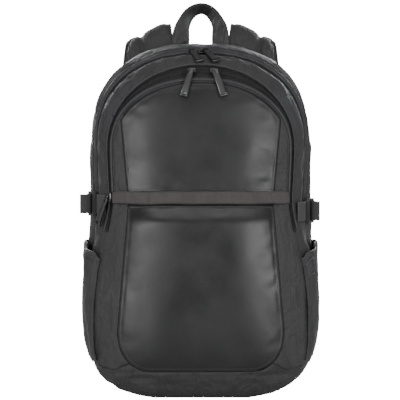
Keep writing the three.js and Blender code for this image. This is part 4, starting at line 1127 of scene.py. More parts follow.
def upper_strip(side, sign):
    """The narrow cloth strip between the upper leather's side seam and the piping."""
    low, high = UPPER_FOOT, 400
    arch = arch_inside()
    right = arch[arch[:, 0] > 60]
    right = right[np.argsort(right[:, 1])]
    leather = UPPER_LEATHER

    def outer_at(z):
        return np.interp(z, right[:, 1], right[:, 0])

    def inner_at(z):
        return np.interp(z, (low, leather.top_height, high), (leather.bottom_half, leather.top_half, 107))

    height = np.linspace(low, high, 400)
    top = height[np.argmax(outer_at(height) - inner_at(height) < 1.0)]
    z = low + spread(top - low, 30)[:, 0]
    inner, outer = inner_at(z), outer_at(z)
    width = outer - inner
    across = spread(width, 5, (0, 0.35, 0.9, 1.7, 2.7))
    x = sign * (inner + across)
    zz = np.broadcast_to(z, x.shape)
    edge = np.minimum(np.minimum(across, width - across), np.minimum(zz - low, top - zz))
    points, normal = front_point(x, zz), front_normal(x, zz)
    relief = seam_drop(edge, 2.4, 2.2) + 0.5 * waves(points, 51 + sign, 22) * np.minimum(1, edge / 5)
    points = points + normal * relief[..., None]
    new_sheet(f"upper_strip_{side}_cloth", points, normal, "cloth", "cloth", [f"upper_strip_{side}"])


def lower_border(side, sign):
    """The cloth beside the lower leather, out over the front rim and back to the second band's seam."""
    outline = leather_outline()
    right = outline[outline[:, 0] > 0]
    right = right[np.argsort(right[:, 1])]

    def inner_at(z):
        return np.interp(z, right[:, 1], right[:, 0])

    top = FLAP_FOOT + 2
    front = np.concatenate([spread(18, 6)[:, 0] / 18 * 0.97, [1.0]])
    back = np.array([0.05, 0.12, 0.22, 0.35, 0.5, 0.65, 0.78, 0.87, 0.93, 0.965, 0.985, 1.0])
    columns = len(front) + len(back)
    rows = spread(top - 40, 60)[:, 0] / (top - 40)
    low = np.full(columns, 46.0)
    for _ in range(12):
        rim_x = half_at(RIM, low)
        front_x = mix(inner_at(low[:len(front)]), rim_x[:len(front)], front)
        low = boot_line(np.concatenate([front_x, rim_x[len(front):]]))
    z = mix(low[:, None], top, rows[None, :])
    u = u_at_height(z, RIM)
    front_z = z[:len(front)]
    front_x = mix(inner_at(front_z), half_at(RIM, front_z), front[:, None])
    front_part = front_point(front_x, front_z)
    start = MID_REAR + ease((z[len(front):] - ZIP.mid_end + 3) / 6)
    v = mix(RIM, start, back[:, None])
    side_part = surface_point(u[len(front):], v)
    points = np.concatenate([front_part, side_part])
    normal = np.concatenate([front_normal(front_x, front_z), surface_normal(u[len(front):], v)])
    corner = len(front) - 1
    shared = surface_normal(u[corner], np.full(u.shape[1], float(RIM)))
    run = arc_length(points)
    turned = np.abs(run - run[corner])
    blend = ease(1 - turned / 7)[..., None]
    normal = unit(mix(normal, np.broadcast_to(shared, normal.shape), blend))
    ends = np.minimum(z - low[:, None], top - z)
    relief = seam_drop(run, 2.4) + seam_drop(run[-1] - run, 2.6) + seam_drop(ends, 2.2)
    relief = relief - 1.3 * np.exp(-(turned / 3.2) ** 2)
    relief = relief + groove(run - THREAD_ROW) + puckers(run, z, 61, 0.35)
    broad = np.minimum(1, np.minimum(run, run[-1] - run) / 10)
    stretched = points * (1.2, 0.6, 0.4)
    folds = 0.9 * waves(stretched, 63 + sign, 30) + 1.2 * creases(stretched, 66 + sign, 34)
    relief = relief + broad * folds
    points = points + normal * relief[..., None]
    points[..., 0] *= sign
    normal[..., 0] *= sign
    new_sheet(f"lower_border_{side}_cloth", points, normal, "cloth", "cloth", [f"lower_border_{side}"])


def pocket_flap():
    """The cloth flap across the front, over the lower pocket's zip."""
    low, high = FLAP_FOOT + GAP, FLAP.height + FLAP.width / 2 - GAP
    half = float(half_at(RIM, FLAP.height)) - 0.6
    across = spread(2 * half, 60)[:, 0] - half
    z = low + spread(high - low, 5)[:, 0]
    x, zz = np.broadcast_arrays(across[None, :], z[:, None])
    tuck = 3.5 * np.exp(-(half - np.abs(x)) / 5)
    zz = mix(zz, FLAP.height, tuck / FLAP.width)
    wobble = 0.35 * waves(x[..., None] * np.array([1.0, 0.0]), 71, 60)
    points, normal = front_point(x, zz), front_normal(x, zz)
    edge = np.minimum(np.minimum(zz - low, high - zz), half - np.abs(x))
    relief = FLAP.lift + 0.5 + seam_drop(np.maximum(edge, 0), 2.2, 1.8)
    relief = relief + groove(zz - low - 3) + groove(high - 3 - zz)
    relief = relief + 0.3 * waves(points, 73, 40) - 2.0 * ease(1 - (half - np.abs(x)) / 9)
    points = points + normal * relief[..., None] + np.stack([0 * x, 0 * x, wobble], -1)
    new_sheet("flap_cloth", points, normal, "flap", "flap_cloth", ["pocket_flap"], wall=1.6)
    runs = []
    for row in (3, len(z) - 4):
        runs.append((points[row] + normal[row] * THREAD_LIFT, normal[row]))
    stitches("flap_stitches", runs, "flap_cloth")


def boot():
    """The base cloth with its turned-up front, in one piece under the bag."""
    share = np.concatenate([
        [0, 0.003, 0.008, 0.016], np.linspace(0.025, 0.975, 150), [0.984, 0.992, 0.997, 1],
    ])
    v_rows = np.concatenate([[0, 0.006, 0.014, 0.03], np.linspace(0.05, RIM, 70)])
    u = mix(3 - boot_u(v_rows)[:, None], 4 + boot_u(v_rows)[:, None], share[None, :])
    v = np.broadcast_to(v_rows[:, None], u.shape)
    under = surface_point(u, v)
    out = surface_normal(u, v)
    rim = under[-1]
    outline = leather_outline()
    lower = outline[outline[:, 1] <= LOWER_LEATHER.hip_height]
    lower = lower[np.argsort(lower[:, 0])]
    x = np.linspace(rim[0, 0], rim[-1, 0], 1400)
    leather_z = np.interp(x, lower[:, 0], lower[:, 1], left=400, right=400)
    top = np.stack([x, np.minimum(np.where(np.abs(x) < 90, 400, boot_line(x)), leather_z)], -1)
    length = arc_length(top)
    target = values_at(share * length[-1], length, top)
    rise = np.concatenate([np.linspace(0.06, 0.9, 12), [0.94, 0.97, 0.988, 1.0]])
    front_x = mix(rim[None, :, 0], target[None, :, 0], rise[:, None])
    front_z = mix(rim[None, :, 2], target[None, :, 1], rise[:, None])
    front = front_point(front_x, front_z)
    points = np.concatenate([under, front])
    normal = np.concatenate([out, front_normal(front_x, front_z)])
    corner = len(v_rows) - 1
    run = arc_length(points)
    turned = np.abs(run - run[corner])
    normal = unit(mix(normal, np.broadcast_to(out[corner], normal.shape), ease(1 - turned / 9)[..., None]))
    walk = arc_length(points, axis=1)
    ends = np.minimum(walk, walk[:, -1:] - walk)
    relief = seam_drop(run, 2.0) + seam_drop(run[-1] - run, 2.4) + seam_drop(ends, 2.4)
    relief = relief - 1.6 * np.exp(-(turned / 5) ** 2) * ease(ends / 12)
    folds = waves(points * (0.35, 1.0, 1.6), 83, 20)
    at_corner = np.exp(-((np.abs(points[..., 0]) - 75) / 32) ** 2) * (points[..., 1] < -70)
    sharp = creases(points * (0.5, 1.0, 1.5), 85, 26)
    free = ease(ends / 10) * ease(points[..., 2] / 12)
    relief = relief + free * ((0.4 + 1.5 * at_corner) * folds + sharp)
    points = points + normal * relief[..., None]
    points[..., 2] = np.maximum(points[..., 2], 0.02)
    new_sheet("boot_cloth", points, normal, "cloth", "cloth", ["boot"])


def fill_seams():
    """The seams round the base, and those that go on below the ends of the long zips."""
    # Each seam gets a near-black cord, painted shade in its gap
    v = np.linspace(0.02, RIM, 120)
    u = boot_u(v)
    out = surface_normal(u, v)
    rim_x = float(half_at(RIM, BOOT.side_seam - 4))
    x = np.linspace(rim_x - 1, BOOT.corner_top_x - 4, 24)
    z = boot_line(x)
    base_points = np.vstack([surface_point(u, v), front_point(x, z)])
    base_normals = np.vstack([out, front_normal(x, z)])
    for side, sign in SIDES.items():
        turn = np.array([sign, 1, 1])
        fill_seam(f"base_{side}_seam", *resampled(base_points * turn, 4.0, base_normals * turn))
        for name, at, top in (("main", MAIN_REAR, ZIP.main_end), ("mid", MID_REAR, ZIP.mid_end)):
            height = np.linspace(BOOT.side_seam, top, 60)
            line = u_at_height(height, at)
            v_here = np.full_like(line, float(at))
            points, normals = surface_point(line, v_here) * turn, surface_normal(line, v_here) * turn
            fill_seam(f"{name}_{side}_seam", *resampled(points, 4.0, normals))


# Side pockets
def pocket_point(sign, v, t, lift):
    s = (v - POCKET.back_v) / (POCKET.front_v - POCKET.back_v)
    rim = mix(POCKET.rim_back, POCKET.rim_front, np.clip(s, 0, 1) ** 1.6)
    z = mix(POCKET.floor, rim, t)
    opened = np.sin(np.pi * np.clip(s, 0, 1)) ** 0.6 * np.sin(np.pi / 2 * np.clip(t * 1.6, 0, 1))
    fullness = mix(POCKET.fullness, POCKET.rim_fullness, t**2)
    u = u_at_height(z)
    normal = surface_normal(u, v)
    point = surface_point(u, v) + normal * (POCKET.clearance + fullness * opened + lift)[..., None]
    return point * (sign, 1, 1), normal * (sign, 1, 1)


def side_pocket(side, sign):
    """A side pocket: a soft cloth wall sewn round three sides, with an elastic hem at its mouth."""
    tall = POCKET.rim_back - POCKET.floor
    s = spread(POCKET.span, 30)[:, 0] / POCKET.span
    t = spread(tall, 34)[:, 0] / tall
    v, tt = np.meshgrid(mix(POCKET.back_v, POCKET.front_v, s), t)
    wide = POCKET.span * np.broadcast_to(s, v.shape)
    high = tt * tall
    edge = np.minimum(np.minimum(wide, POCKET.span - wide), high)
    below_rim = tall - high
    base, _ = pocket_point(sign, v, tt, np.zeros_like(v))
    relief = POCKET.wall + seam_drop(edge, 2.0) + seam_drop(below_rim, 1.2, 1.2)
    relief = relief + groove(below_rim - POCKET.hem, 0.6, 0.9)
    relief = relief + puckers(below_rim, wide, 91 + sign, 0.55, 9, 10)
    relief = relief + puckers(edge, wide + high, 93, 0.35)
    soft = np.minimum(1, edge / 14) * ease(below_rim / 8)
    stretched = base * (0.6, 1.2, 0.45)
    folds = 1.3 * waves(stretched, 95 + sign, 34) + 1.3 * creases(stretched, 98 + sign, 38)
    relief = relief + soft * folds
    points, normal = pocket_point(sign, v, tt, relief)
    name = f"side_pocket_{side}"
    new_sheet(f"{name}_cloth", points, normal, "cloth", "cloth", [name], wall=1.2)
    bead(f"{name}_hem", points[-1] - normal[-1] * 0.4 + (0, 0, 0.3), 1.2, "trim", "cloth")
    row = int(np.argmin(np.abs(below_rim[:, 0] - POCKET.hem)))
    runs = [(points[row] + normal[row] * 0.3, normal[row])]
    for column in (5, -6):
        runs.append((points[:, column] + normal[:, column] * THREAD_LIFT, normal[:, column]))
    runs.append((points[5] + normal[5] * THREAD_LIFT, normal[5]))
    stitches(f"{name}_stitches", runs)


def pocket_tag():
    """The blank cloth tag sewn to the right pocket."""
    rise = TAG.height / (POCKET.rim_front - POCKET.floor)
    t = TAG.t + np.linspace(0, rise, 16)
    v, tt = np.meshgrid(np.linspace(TAG.back_v, TAG.front_v, 18), t)
    wide = np.linspace(0, 1, 18)[None, :] * TAG.span + 0 * v
    high = np.linspace(0, TAG.height, 16)[:, None] + 0 * v
    edge = np.minimum(np.minimum(wide, TAG.span - wide), np.minimum(high, TAG.height - high))
    relief = POCKET.wall + 1.5 + seam_drop(edge, 0.9, 1.2) + groove(edge - 3, 0.3)
    points, normal = pocket_point(1, v, tt, relief)
    new_sheet("tag_cloth", points, normal, "trim", "trim", ["pocket_tag"], wall=0.9)
    ring = np.vstack([points[2, 2:-2], points[2:-2, -3], points[-3, 2:-2][::-1], points[2:-2, 2][::-1]])
    out = np.vstack([normal[2, 2:-2], normal[2:-2, -3], normal[-3, 2:-2][::-1], normal[2:-2, 2][::-1]])
    stitches("tag_stitches", [(ring + out * 0.3, out)])


# Webbing and its locks
WEB_OUT = LOCK.thickness / 2 + WEBBING.clearance + WEBBING.thickness / 2
LOCK_END = LOCK.slot + 1.5 * LOCK.bar
BAR_TURN = LOCK.bar / 2 + WEBBING.clearance + WEBBING.thickness / 2


def web_section(width, thickness):
    """A flat band's section with rounded edges and a slightly thicker selvedge."""
    wide, thick = width / 2, thickness / 2
    edge = [(-wide + 0.35, -0.8 * thick), (-wide + 1.2, -thick), (-wide + 2.2, -0.82 * thick)]
    mirrored = [(-across, up) for across, up in reversed(edge)]
    half = [(-wide, 0), *edge, (0, -0.86 * thick), *mirrored]
    return np.array(half + [(-across, -up) for across, up in half])


def adjustable_route(reach, tail):
    """A web's route round the lock's middle bar and out again, with a loose tail."""
    turn, out = BAR_TURN, WEB_OUT
    return [
        *reach, (LOCK_END + 3, -out), (0, -out), (-turn + 0.4, -out + 0.4), (-turn, -out + 1.4),
        (-turn, out - 1.4), (-turn + 0.4, out - 0.4), (-turn + 1.4, out), (turn + 1, out + 0.4),
        (turn + 2.6, out + 2), (turn + 3.2, out + tail * 0.4), (turn + 3, out + tail),
    ]


def fixed_route(reach):
    """A web's route round the lock's end bar, with its end sewn back on itself."""
    turn = LOCK.bar / 2 + LOCK.slot - WEBBING.clearance - WEBBING.thickness / 2
    out, rear = WEB_OUT, LOCK_END + 2
    return [
        (-rear - 9, -out + WEBBING.thickness + WEBBING.clearance), (-rear - 3, -out + 3),
        (-rear + 1, out - 0.5), (-LOCK_END + 1, out), (-turn - 1.2, out), (-turn, out - 1.2),
        (-turn, -out + 1.2), (-turn - 1.2, -out), (-LOCK_END, -out), *reach,
    ]


def web(name, route, place, across, replaces):
    """A band of webbing along a route given in its lock's plane."""
    centres = smooth_path([place(along, out) for along, out in route], 4)
    section = np.broadcast_to(web_section(WEBBING.width, WEBBING.thickness), (len(centres), 16, 2))
    rings = sweep_rings(centres, np.asarray(across, float), section)
    new_solid(name, rings, "webbing", "webbing", replaces)


def box_stitch(name, centre, along, across, out, length, width):
    """A square of thread with a cross in it."""
    corners = {}
    for ahead in (-1, 1):
        for aside in (-1, 1):
            corners[ahead, aside] = centre + along * ahead * length / 2 + across * aside * width / 2
    lines = (
        ((-1, -1), (1, -1)), ((1, -1), (1, 1)), ((1, 1), (-1, 1)), ((-1, 1), (-1, -1)),
        ((-1, -1), (1, 1)), ((-1, 1), (1, -1)),
    )
    runs = []
    for start, stop in lines:
        path = np.linspace(corners[start], corners[stop], 8)
        runs.append((path, np.broadcast_to(out, path.shape)))
    stitches(name, runs, "webbing")


def side_strap(side, sign):
    """One compression strap: two webs and the ladder lock that joins them."""
    z, tail = SIDE_STRAPS[side]
    u = float(u_at_height(z - WEBBING.width / 2))
    stops = np.array([float(reach_at(line, z)) for line in SEAMS])

    def on_side(depth, lift=0.0):
        v = np.interp(depth, stops, np.arange(len(stops)))
        return (surface_point(u, v) + surface_normal(u, v) * lift)[:2] * (1, -1)

    rear, fore = (on_side(SIDE_STRAP.lock_depth + step) for step in (-LOCK_END, LOCK_END))
    forward = unit(fore - rear)
    outward = np.array([forward[1], -forward[0]])
    stand = WEB_OUT + WEBBING.thickness / 2 + WEBBING.clearance + 1
    middle = (rear + fore) / 2 + outward * stand

    def place(along, out):
        x, depth = middle + forward * along + outward * out
        return np.array([sign * x, -depth, z])

    def on_wall(depth):
        away = on_side(depth, WEBBING.thickness / 2 + 2 * GAP) - middle
        return away @ forward, away @ outward

    depths = np.linspace(SIDE_STRAP.anchor_depth, SIDE_STRAP.lock_depth + 2 * LOCK_END, 4)
    fore_route = adjustable_route([on_wall(depth) for depth in depths], tail)
    rear_route = fixed_route([on_wall(depth) for depth in (30, 20, 10, 3)])
    web(f"side_web_fore_{side}", fore_route, place, (0, 0, 1), [f"side_strap_fore_{side}"])
    web(f"side_web_rear_{side}", rear_route, place, (0, 0, 1), [f"side_strap_rear_{side}"])
    centre = place(BAR_TURN + 3.9, WEB_OUT + tail * 0.62)
    along = unit(place(BAR_TURN + 3, WEB_OUT + tail) - place(BAR_TURN + 3.2, WEB_OUT + tail * 0.4))
    out = unit(place(1, 0) - place(0, 0))
    box_stitch(f"side_web_{side}_thread", centre, along, np.array([0.0, 0.0, 1.0]), out, tail * 0.5, 19)


# Shoulder straps: x as a share of the spread, behind of the stand, z of the peak, and the lean in degrees
STRAP_STATIONS = (
    (0.96, 0.108, 0.885, -22), (0.98, 0.122, 0.925, -25), (1.0, 0.18, 0.962, -27), (1.01, 0.37, 0.989, -27),
    (1.02, 0.6, 0.998, -26), (1.04, 0.8, 0.985, -23), (1.07, 0.94, 0.952, -18), (1.11, 1.01, 0.9, -12),
    (1.17, 1.04, 0.83, -6), (1.25, 1.02, 0.755, -3), (1.35, 0.97, 0.68, 0), (1.46, 0.9, 0.605, 0),
    (1.56, 0.83, 0.53, 0), (1.65, 0.77, 0.455, 0), (1.71, 0.73, 0.39, 0),
)
BACK_FACE = BACK_PANEL.thickness + GAP


def strap_path(sign, per_span=8):
    """The strap's centre line, the direction across it and how much it has narrowed, at close stations."""
    rows = np.array(STRAP_STATIONS, float)
    narrow = mix(1, 0.74, ease((np.arange(len(rows)) - 8) / 6))
    centres = np.stack([
        sign * rows[:, 0] * SHOULDER_STRAP.spread, BACK_FACE + rows[:, 1] * SHOULDER_STRAP.stand,
        rows[:, 2] * SHOULDER_STRAP.peak,
    ], -1)
    lean = np.radians(rows[:, 3])
    across = np.stack([np.cos(lean), 0 * lean, sign * np.sin(lean)], -1)
    fine = smooth_path(np.hstack([centres, across, narrow[:, None]]), per_span)
    return fine[:, :3], unit(fine[:, 3:6]), fine[:, 6]


SEWN_LINE = 0.2  # the strap's inner seam, as a share of its width from the middle towards its outer edge


def strap_profile(shares, sign):
    """Half the strap's thickness across its width: a full inner pad, a sewn line, a thinner outer pad."""
    out = shares * sign
    thick = np.zeros_like(out)
    for start, stop, fullness in ((-0.5, SEWN_LINE, 1), (SEWN_LINE, 0.5, 0.82)):
        t = np.clip((out - start) / (stop - start), 0, 1)
        hump = SHOULDER_STRAP.thickness / 2 * fullness * (1 - np.abs(2 * t - 1) ** 4.0)
        thick = np.where(out >= start, hump, thick)
    return np.maximum(thick, 2.2)


def shoulder_pad(side, sign):
    """A padded shoulder strap with piped edges and two rows of thread beside its inner seam."""
    centres, across, narrow = strap_path(sign)
    edge = np.array([0.44, 0.47, 0.485, 0.494, 0.5])
    shares = np.concatenate([-edge[::-1], np.linspace(-0.4, 0.4, 28), edge])
    if sign < 0:
        shares = shares[::-1]
    near = np.abs(shares * sign - SEWN_LINE)
    width = SHOULDER_STRAP.width * narrow[:, None]
    start = mix(0.8, 1, ease(np.minimum(np.arange(len(centres)), 8) / 8))
    thick = strap_profile(shares, sign)[None, :] * start[:, None]
    length = arc_length(centres)
    flat = np.stack([np.broadcast_to(length[:, None], thick.shape), width * shares], -1)
    lumps = 0.5 * waves(flat, 101 + sign, 34) + 0.3 * np.exp(-near * 58 / 6) * waves(flat, 103, 11)
    top, under = thick + lumps, -thick - 0.4 * waves(flat, 105, 30)
    upper = np.stack([width * shares, top], -1)
    lower = np.stack([width * shares, under], -1)[:, ::-1]
    section = np.concatenate([upper, lower], 1)
    rings = sweep_rings(centres, across, section)
    piece = new_solid(f"shoulder_pad_{side}", rings, "cloth", "cloth", [f"shoulder_strap_{side}"])
    _, direction, out = sweep_frames(centres, across)
    for label, share, radius in (("inner", -0.5, 2.0), ("outer", 0.5, 1.8)):
        path = centres + direction * (width * share * sign)
        bead(f"shoulder_pad_{side}_{label}_binding", path, radius, "trim", "trim")
    order = np.argsort(shares)
    runs = []
    for share in (SEWN_LINE - 0.045, SEWN_LINE + 0.045, -0.45):
        path = centres + direction * (width * share * sign)
        heights = np.array([np.interp(share * sign, shares[order], row[order]) for row in top])
        runs.append((path + out * (heights + THREAD_LIFT)[:, None], out))
    stitches(f"shoulder_pad_{side}_stitches", runs)


ANCHOR = SimpleNamespace(x=122, z=58)


def lower_strap(side, sign):
    """The web from a shoulder strap's lock to the bottom corner, its tail, and the lock's short loop."""
    x, behind, z, _ = STRAP_STATIONS[-1]
    pad_end = np.array([
        sign * x * SHOULDER_STRAP.spread, BACK_FACE + behind * SHOULDER_STRAP.stand, z * SHOULDER_STRAP.peak
    ])
    corner = np.array([sign * ANCHOR.x, BACK_FACE + WEBBING.thickness, ANCHOR.z])
    down = unit(corner - pad_end)
    across = unit(np.array([1.0, 0, 0]) - down * down[0])
    outward = unit(np.cross(across, down))
    outward = outward * np.sign(outward[1])
    middle = pad_end + down * (LOCK_END + 19)

    def place(along, out):
        return middle + down * along + outward * out

    reach = np.linalg.norm(corner - middle)
    corner_out = float((corner - middle) @ outward)
    route = adjustable_route([(reach, corner_out), (reach * 0.6, -WEB_OUT - 0.2)], 6)[:-2]
    route += [(LOCK_END + 14, WEB_OUT + 9), (LOCK_END + 50, WEB_OUT + 9.5), (LOCK_END + 84, WEB_OUT + 7)]
    web(f"lower_web_{side}_band", route, place, across, [f"lower_web_{side}"])
    loop = fixed_route([(-LOCK_END - step, -WEB_OUT) for step in (6, 15.3, 24)])
    web(f"strap_loop_{side}_band", loop, place, across, [f"strap_loop_{side}"])
    tail_end = place(LOCK_END + 76, WEB_OUT + 8.6)
    box_stitch(f"lower_web_{side}_thread", tail_end, down, across, outward, 12, 18)


def locks():
    """The moulded ladder locks keep their solids, with softened edges."""
    for name in ("side_strap_lock_left", "side_strap_lock_right", "strap_lock_left", "strap_lock_right"):
        node = NODES[name]
        node.data.materials.clear()
        node.data.materials.append(finish("moulded"))
        soften(node, 0.7, 3)


# The carry handle
# x as a share of its half width, z as a share of its height, and how far it leans
HANDLE_STATIONS = (
    (-1.02, 0, 0), (-1.02, 0.3, 0), (-0.99, 0.54, 0), (-0.88, 0.7, 0.1), (-0.62, 0.875, 0.5),
    (-0.3, 0.97, 0.85), (0.04, 1, 1), (0.36, 0.965, 0.9), (0.64, 0.87, 0.55), (0.86, 0.73, 0.2),
    (0.97, 0.587, 0), (1.0, 0.3, 0), (1.0, 0, 0),
)


def carry_handle():
    """The handle: a folded band, stitched along both edges."""
    rows = np.array(HANDLE_STATIONS, float)
    points = np.stack([
        rows[:, 0] * HANDLE.half, np.full(len(rows), BACK_FACE + GAP + HANDLE.thickness / 2),
        mix(HANDLE.root, HANDLE.peak, rows[:, 1]),
    ], -1)
    along = unit(np.vstack([points[1:], points[-1:]]) - np.vstack([points[:1], points[:-1]]))
    in_plane = np.stack([along[:, 2], 0 * along[:, 0], -along[:, 0]], -1)
    angle = np.radians(HANDLE.tilt * rows[:, 2])[:, None]
    across = in_plane * np.cos(angle) + np.array([0, 1.0, 0]) * np.sin(angle)
    fine = smooth_path(np.hstack([points, across]), 9)
    centres, across = fine[:, :3], unit(fine[:, 3:])
    edge = np.array([0.42, 0.46, 0.49, 0.5])
    shares = np.concatenate([-edge[::-1], np.linspace(-0.36, 0.36, 13), edge])
    folded = mix(1.1, 0.82, ease((centres[:, 2] - 460) / 30))[:, None]
    half = HANDLE.thickness / 2
    profile = half * (1 - np.abs(2 * shares) ** 10) ** 0.5
    profile = profile + groove((np.abs(shares) - 0.4) * HANDLE.width, 0.5, 0.8)
    length = arc_length(centres)
    flat = np.stack(np.broadcast_arrays(length[:, None], shares[None, :] * HANDLE.width), -1)
    lumps = 0.25 * waves(flat, 111, 14)
    top = np.stack([shares * HANDLE.width * folded, profile + lumps], -1)
    under = np.stack([shares * HANDLE.width * folded, -profile - 0.1 + 0 * lumps], -1)[:, ::-1]
    section = np.concatenate([top, under], 1)
    new_solid("handle_band", sweep_rings(centres, across, section), "handle", "trim", ["carry_handle"])
    _, side, out = sweep_frames(centres, across)
    runs = []
    for share in (-0.4, 0.4):
        for face in (1, -1):
            path = centres + side * share * HANDLE.width * folded + out * face * (half + 0.1)
            runs.append((path, out * face))
    stitches("handle_stitches", runs)


# Zip sliders and their tabs: name, tab's clearance, place, v, and the tab's tip as place, v and lift.
# Places are x on the crown, and for the pocket slider a height on the left side.
PULLS = (
    ("main_left", 1.6, -13, 1.5, (-4, 2.72, 0.8)),
    ("main_right", 1.6, 4, 1.5, (16, 2.7, 0.8)),
    ("mid_left", 1.6, -12, 3.5, (-25, 4.168, 3.2)),
    ("mid_right", 1.6, 17, 3.5, (33, 4.148, 3.2)),
    ("pocket", 0.6, FLAP.height, 3.5, (FLAP.height - 42, 2.75, 5)),
)


def place_u(value, v):
    if value > 100:
        return 3 - float(u_at_height(value))
    u = np.linspace(1, 2, 4001)
    x = surface_point(u, np.full_like(u, v))[:, 0]
    return float(np.interp(-value, -x, u))


def lift_from(u, v, lift):
    return surface_point(u, v) + surface_normal(u, v) * lift


def placed_rings(rings, origin, along, across, out):
    return origin + rings[..., :1] * along + rings[..., 1:2] * across + rings[..., 2:] * out


def plate_rings(outline, low, high, round_off):
    """Rings of a flat plate from its outline, with rounded top and bottom edges."""
    outline = np.asarray(outline, float)
    centre = outline.mean(0)
    inward = unit(centre - outline)
    layers = [(low, 1.0), (low + round_off * 0.3, 0.3), (low + round_off, 0), (high - round_off, 0)]
    layers += [(high - round_off * 0.3, 0.3), (high, 1.0)]
    rings = []
    for height, share in layers:
        ring = outline + inward * share * round_off
        rings.append(np.hstack([ring, np.full((len(outline), 1), height)]))
    return np.stack(rings)


def rounded_box(x0, x1, half, corner, steps=4):
    turn = np.linspace(0, np.pi / 2, steps)
    quarter = np.stack([np.cos(turn), np.sin(turn)], -1) * corner
    points = []
    for along, aside in ((1, 1), (-1, 1), (-1, -1), (1, -1)):
        centre = np.array([x1 - corner if along > 0 else x0 + corner, aside * (half - corner)])
        arc = quarter if along * aside > 0 else quarter[::-1]
        points.append(centre + arc * (along, aside))
    return np.vstack(points)


def zip_pull(name, stand, value, v, tip):
    """A slider with its bridge, and the tab that hangs from it: a metal frame with a moulded middle."""
    u = place_u(value, v)
    normal = surface_normal(u, v)
    along = unit(surface_point(u + 0.01, v) - surface_point(u - 0.01, v))
    across = unit(np.cross(normal, along))
    base = lift_from(u, v, SLIDER.base)
    length, width, height = SLIDER.length, SLIDER.width, SLIDER.height
    waist = [(-length / 2, -width * 0.36), (length * 0.1, -width / 2), (length / 2, -width * 0.3)]
    waist += [(length / 2, width * 0.3), (length * 0.1, width / 2), (-length / 2, width * 0.36)]
    rings = plate_rings(waist, 0, height * 0.72, 0.7)
    rings = placed_rings(rings, base, along, across, normal)
    body = new_solid(f"slider_{name}_body", rings, "metal", "slider", [f"slider_{name}"])
    soften(body, 0.3)
    rear_half = [(-4.2, 0, 2.4), (-3.6, 0, 3.9), (-1.5, 0, 4.9)]
    bridge = np.array(rear_half + [(-ahead, aside, up) for ahead, aside, up in reversed(rear_half)])
    path = placed_rings(smooth_path(bridge, 4), base, along, across, normal)
    bead(f"slider_{name}_bridge", path, 0.75, "metal", "slider")
    root = lift_from(u, v, SLIDER.base + height + stand)
    tip_value, tip_v, tip_lift = tip
    tip_u = place_u(tip_value, tip_v)
    run = unit(lift_from(tip_u, tip_v, tip_lift) - root)
    side = unit(np.cross(surface_normal(tip_u, tip_v), run))
    up = np.cross(run, side)
    tab = rounded_box(0, PULL.length, PULL.width / 2, 2.0)
    tab[:, 1] *= np.interp(tab[:, 0], (0, PULL.length * 0.25), (0.66, 1))
    middle = rounded_box(7, PULL.length - 5, PULL.width / 2 - 1.7, 1.2)
    end = rounded_box(PULL.length - 4, PULL.length + 0.2, PULL.width / 2 + 0.25, 1.4)
    plates = (
        ("frame", tab, 0, 0.6, "metal", "slider", [f"pull_{name}"]),
        ("middle", middle, 0.35, 0.4, "rubber", "pull_tab", ()),
        ("end", end, 0.5, 0.8, "metal", "slider", ()),
    )
    for label, outline, proud, round_off, material, slot, replaces in plates:
        rings = plate_rings(outline, -proud, PULL.thickness + proud, round_off)
        rings = placed_rings(rings, root, run, side, up)
        new_solid(f"pull_{name}_{label}", rings, material, slot, replaces)
    ring = np.linspace(0, 2 * np.pi, 20)
    hoop_along, hoop_up = PULL.hole + 1.1 * np.cos(ring) - 1.0, PULL.thickness / 2 + 2.0 * np.sin(ring)
    hoop = placed_rings(np.stack([hoop_along, 0 * ring, hoop_up], -1), root, run, side, up)
    bead(f"pull_{name}_hoop", hoop, 0.55, "metal", "slider")


# The back
def back_sheet():
    """The back panel under the pads, with a bound edge."""
    u = np.linspace(0, 4, 301)[:-1]
    outline = seam_point(SEAMS[BACK], u)[:, [0, 2]]
    inward = unit(outline - (0, FRONT.middle)) * BACK_PANEL.inset
    outline = outline - inward
    outline[:, 1] = np.maximum(outline[:, 1], BACK_PANEL.inset)
    shares = np.concatenate([[0, 0.003, 0.007, 0.013, 0.022], np.linspace(0.04, 1, 30)])
    centre = np.array([0, FRONT.middle])
    flat = mix(outline[None], centre, shares[:, None, None])
    edge = np.linalg.norm(flat - outline[None], axis=-1)
    rise = BACK_PANEL.thickness + seam_drop(edge, 6, 6)
    rise = rise + 0.35 * waves(flat, 121, 45) * np.minimum(1, edge / 12)
    rise = np.minimum(rise, BACK_PANEL.thickness + 0.1)
    points = np.stack([flat[..., 0], rise, flat[..., 1]], -1)
    out = np.broadcast_to(np.array([0, 1.0, 0]), points.shape)
    new_sheet("back_sheet", points, out, "mesh", "back_mesh", ["back_panel"], wall=2.5, closed=True)


def pad_outline(sign):
    """A tall back pad's outline as x and z points."""
    pad = BACK_PAD
    inner = pad.channel / 2
    before = np.array([pad.outer_half - pad.corner, pad.bottom], float)
    point = np.array([pad.outer_half, pad.bottom], float)
    after = np.array([pad.outer_half, pad.bottom + pad.corner], float)
    t = np.linspace(0, 1, 9)[:, None]
    corner = before * (1 - t) ** 2 + 2 * point * t * (1 - t) + after * t**2
    top = bent_line([
        (pad.outer_half, mix(BAG.waist, BAG.shoulder, 0.7)),
        (pad.outer_half, mix(BAG.shoulder, pad.inner_top, 0.6)),
        (mix(inner, pad.outer_half, 0.7), pad.inner_top),
        (inner, pad.inner_top),
    ], len(t))
    return np.vstack([[(inner, pad.bottom)], corner, top]) * (sign, 1)


def lumbar_outline():
    pad = LUMBAR_PAD
    outline = rounded_box(-pad.half, pad.half, (pad.top - pad.bottom) / 2, pad.corner, 7)
    return outline + (0, (pad.top + pad.bottom) / 2)


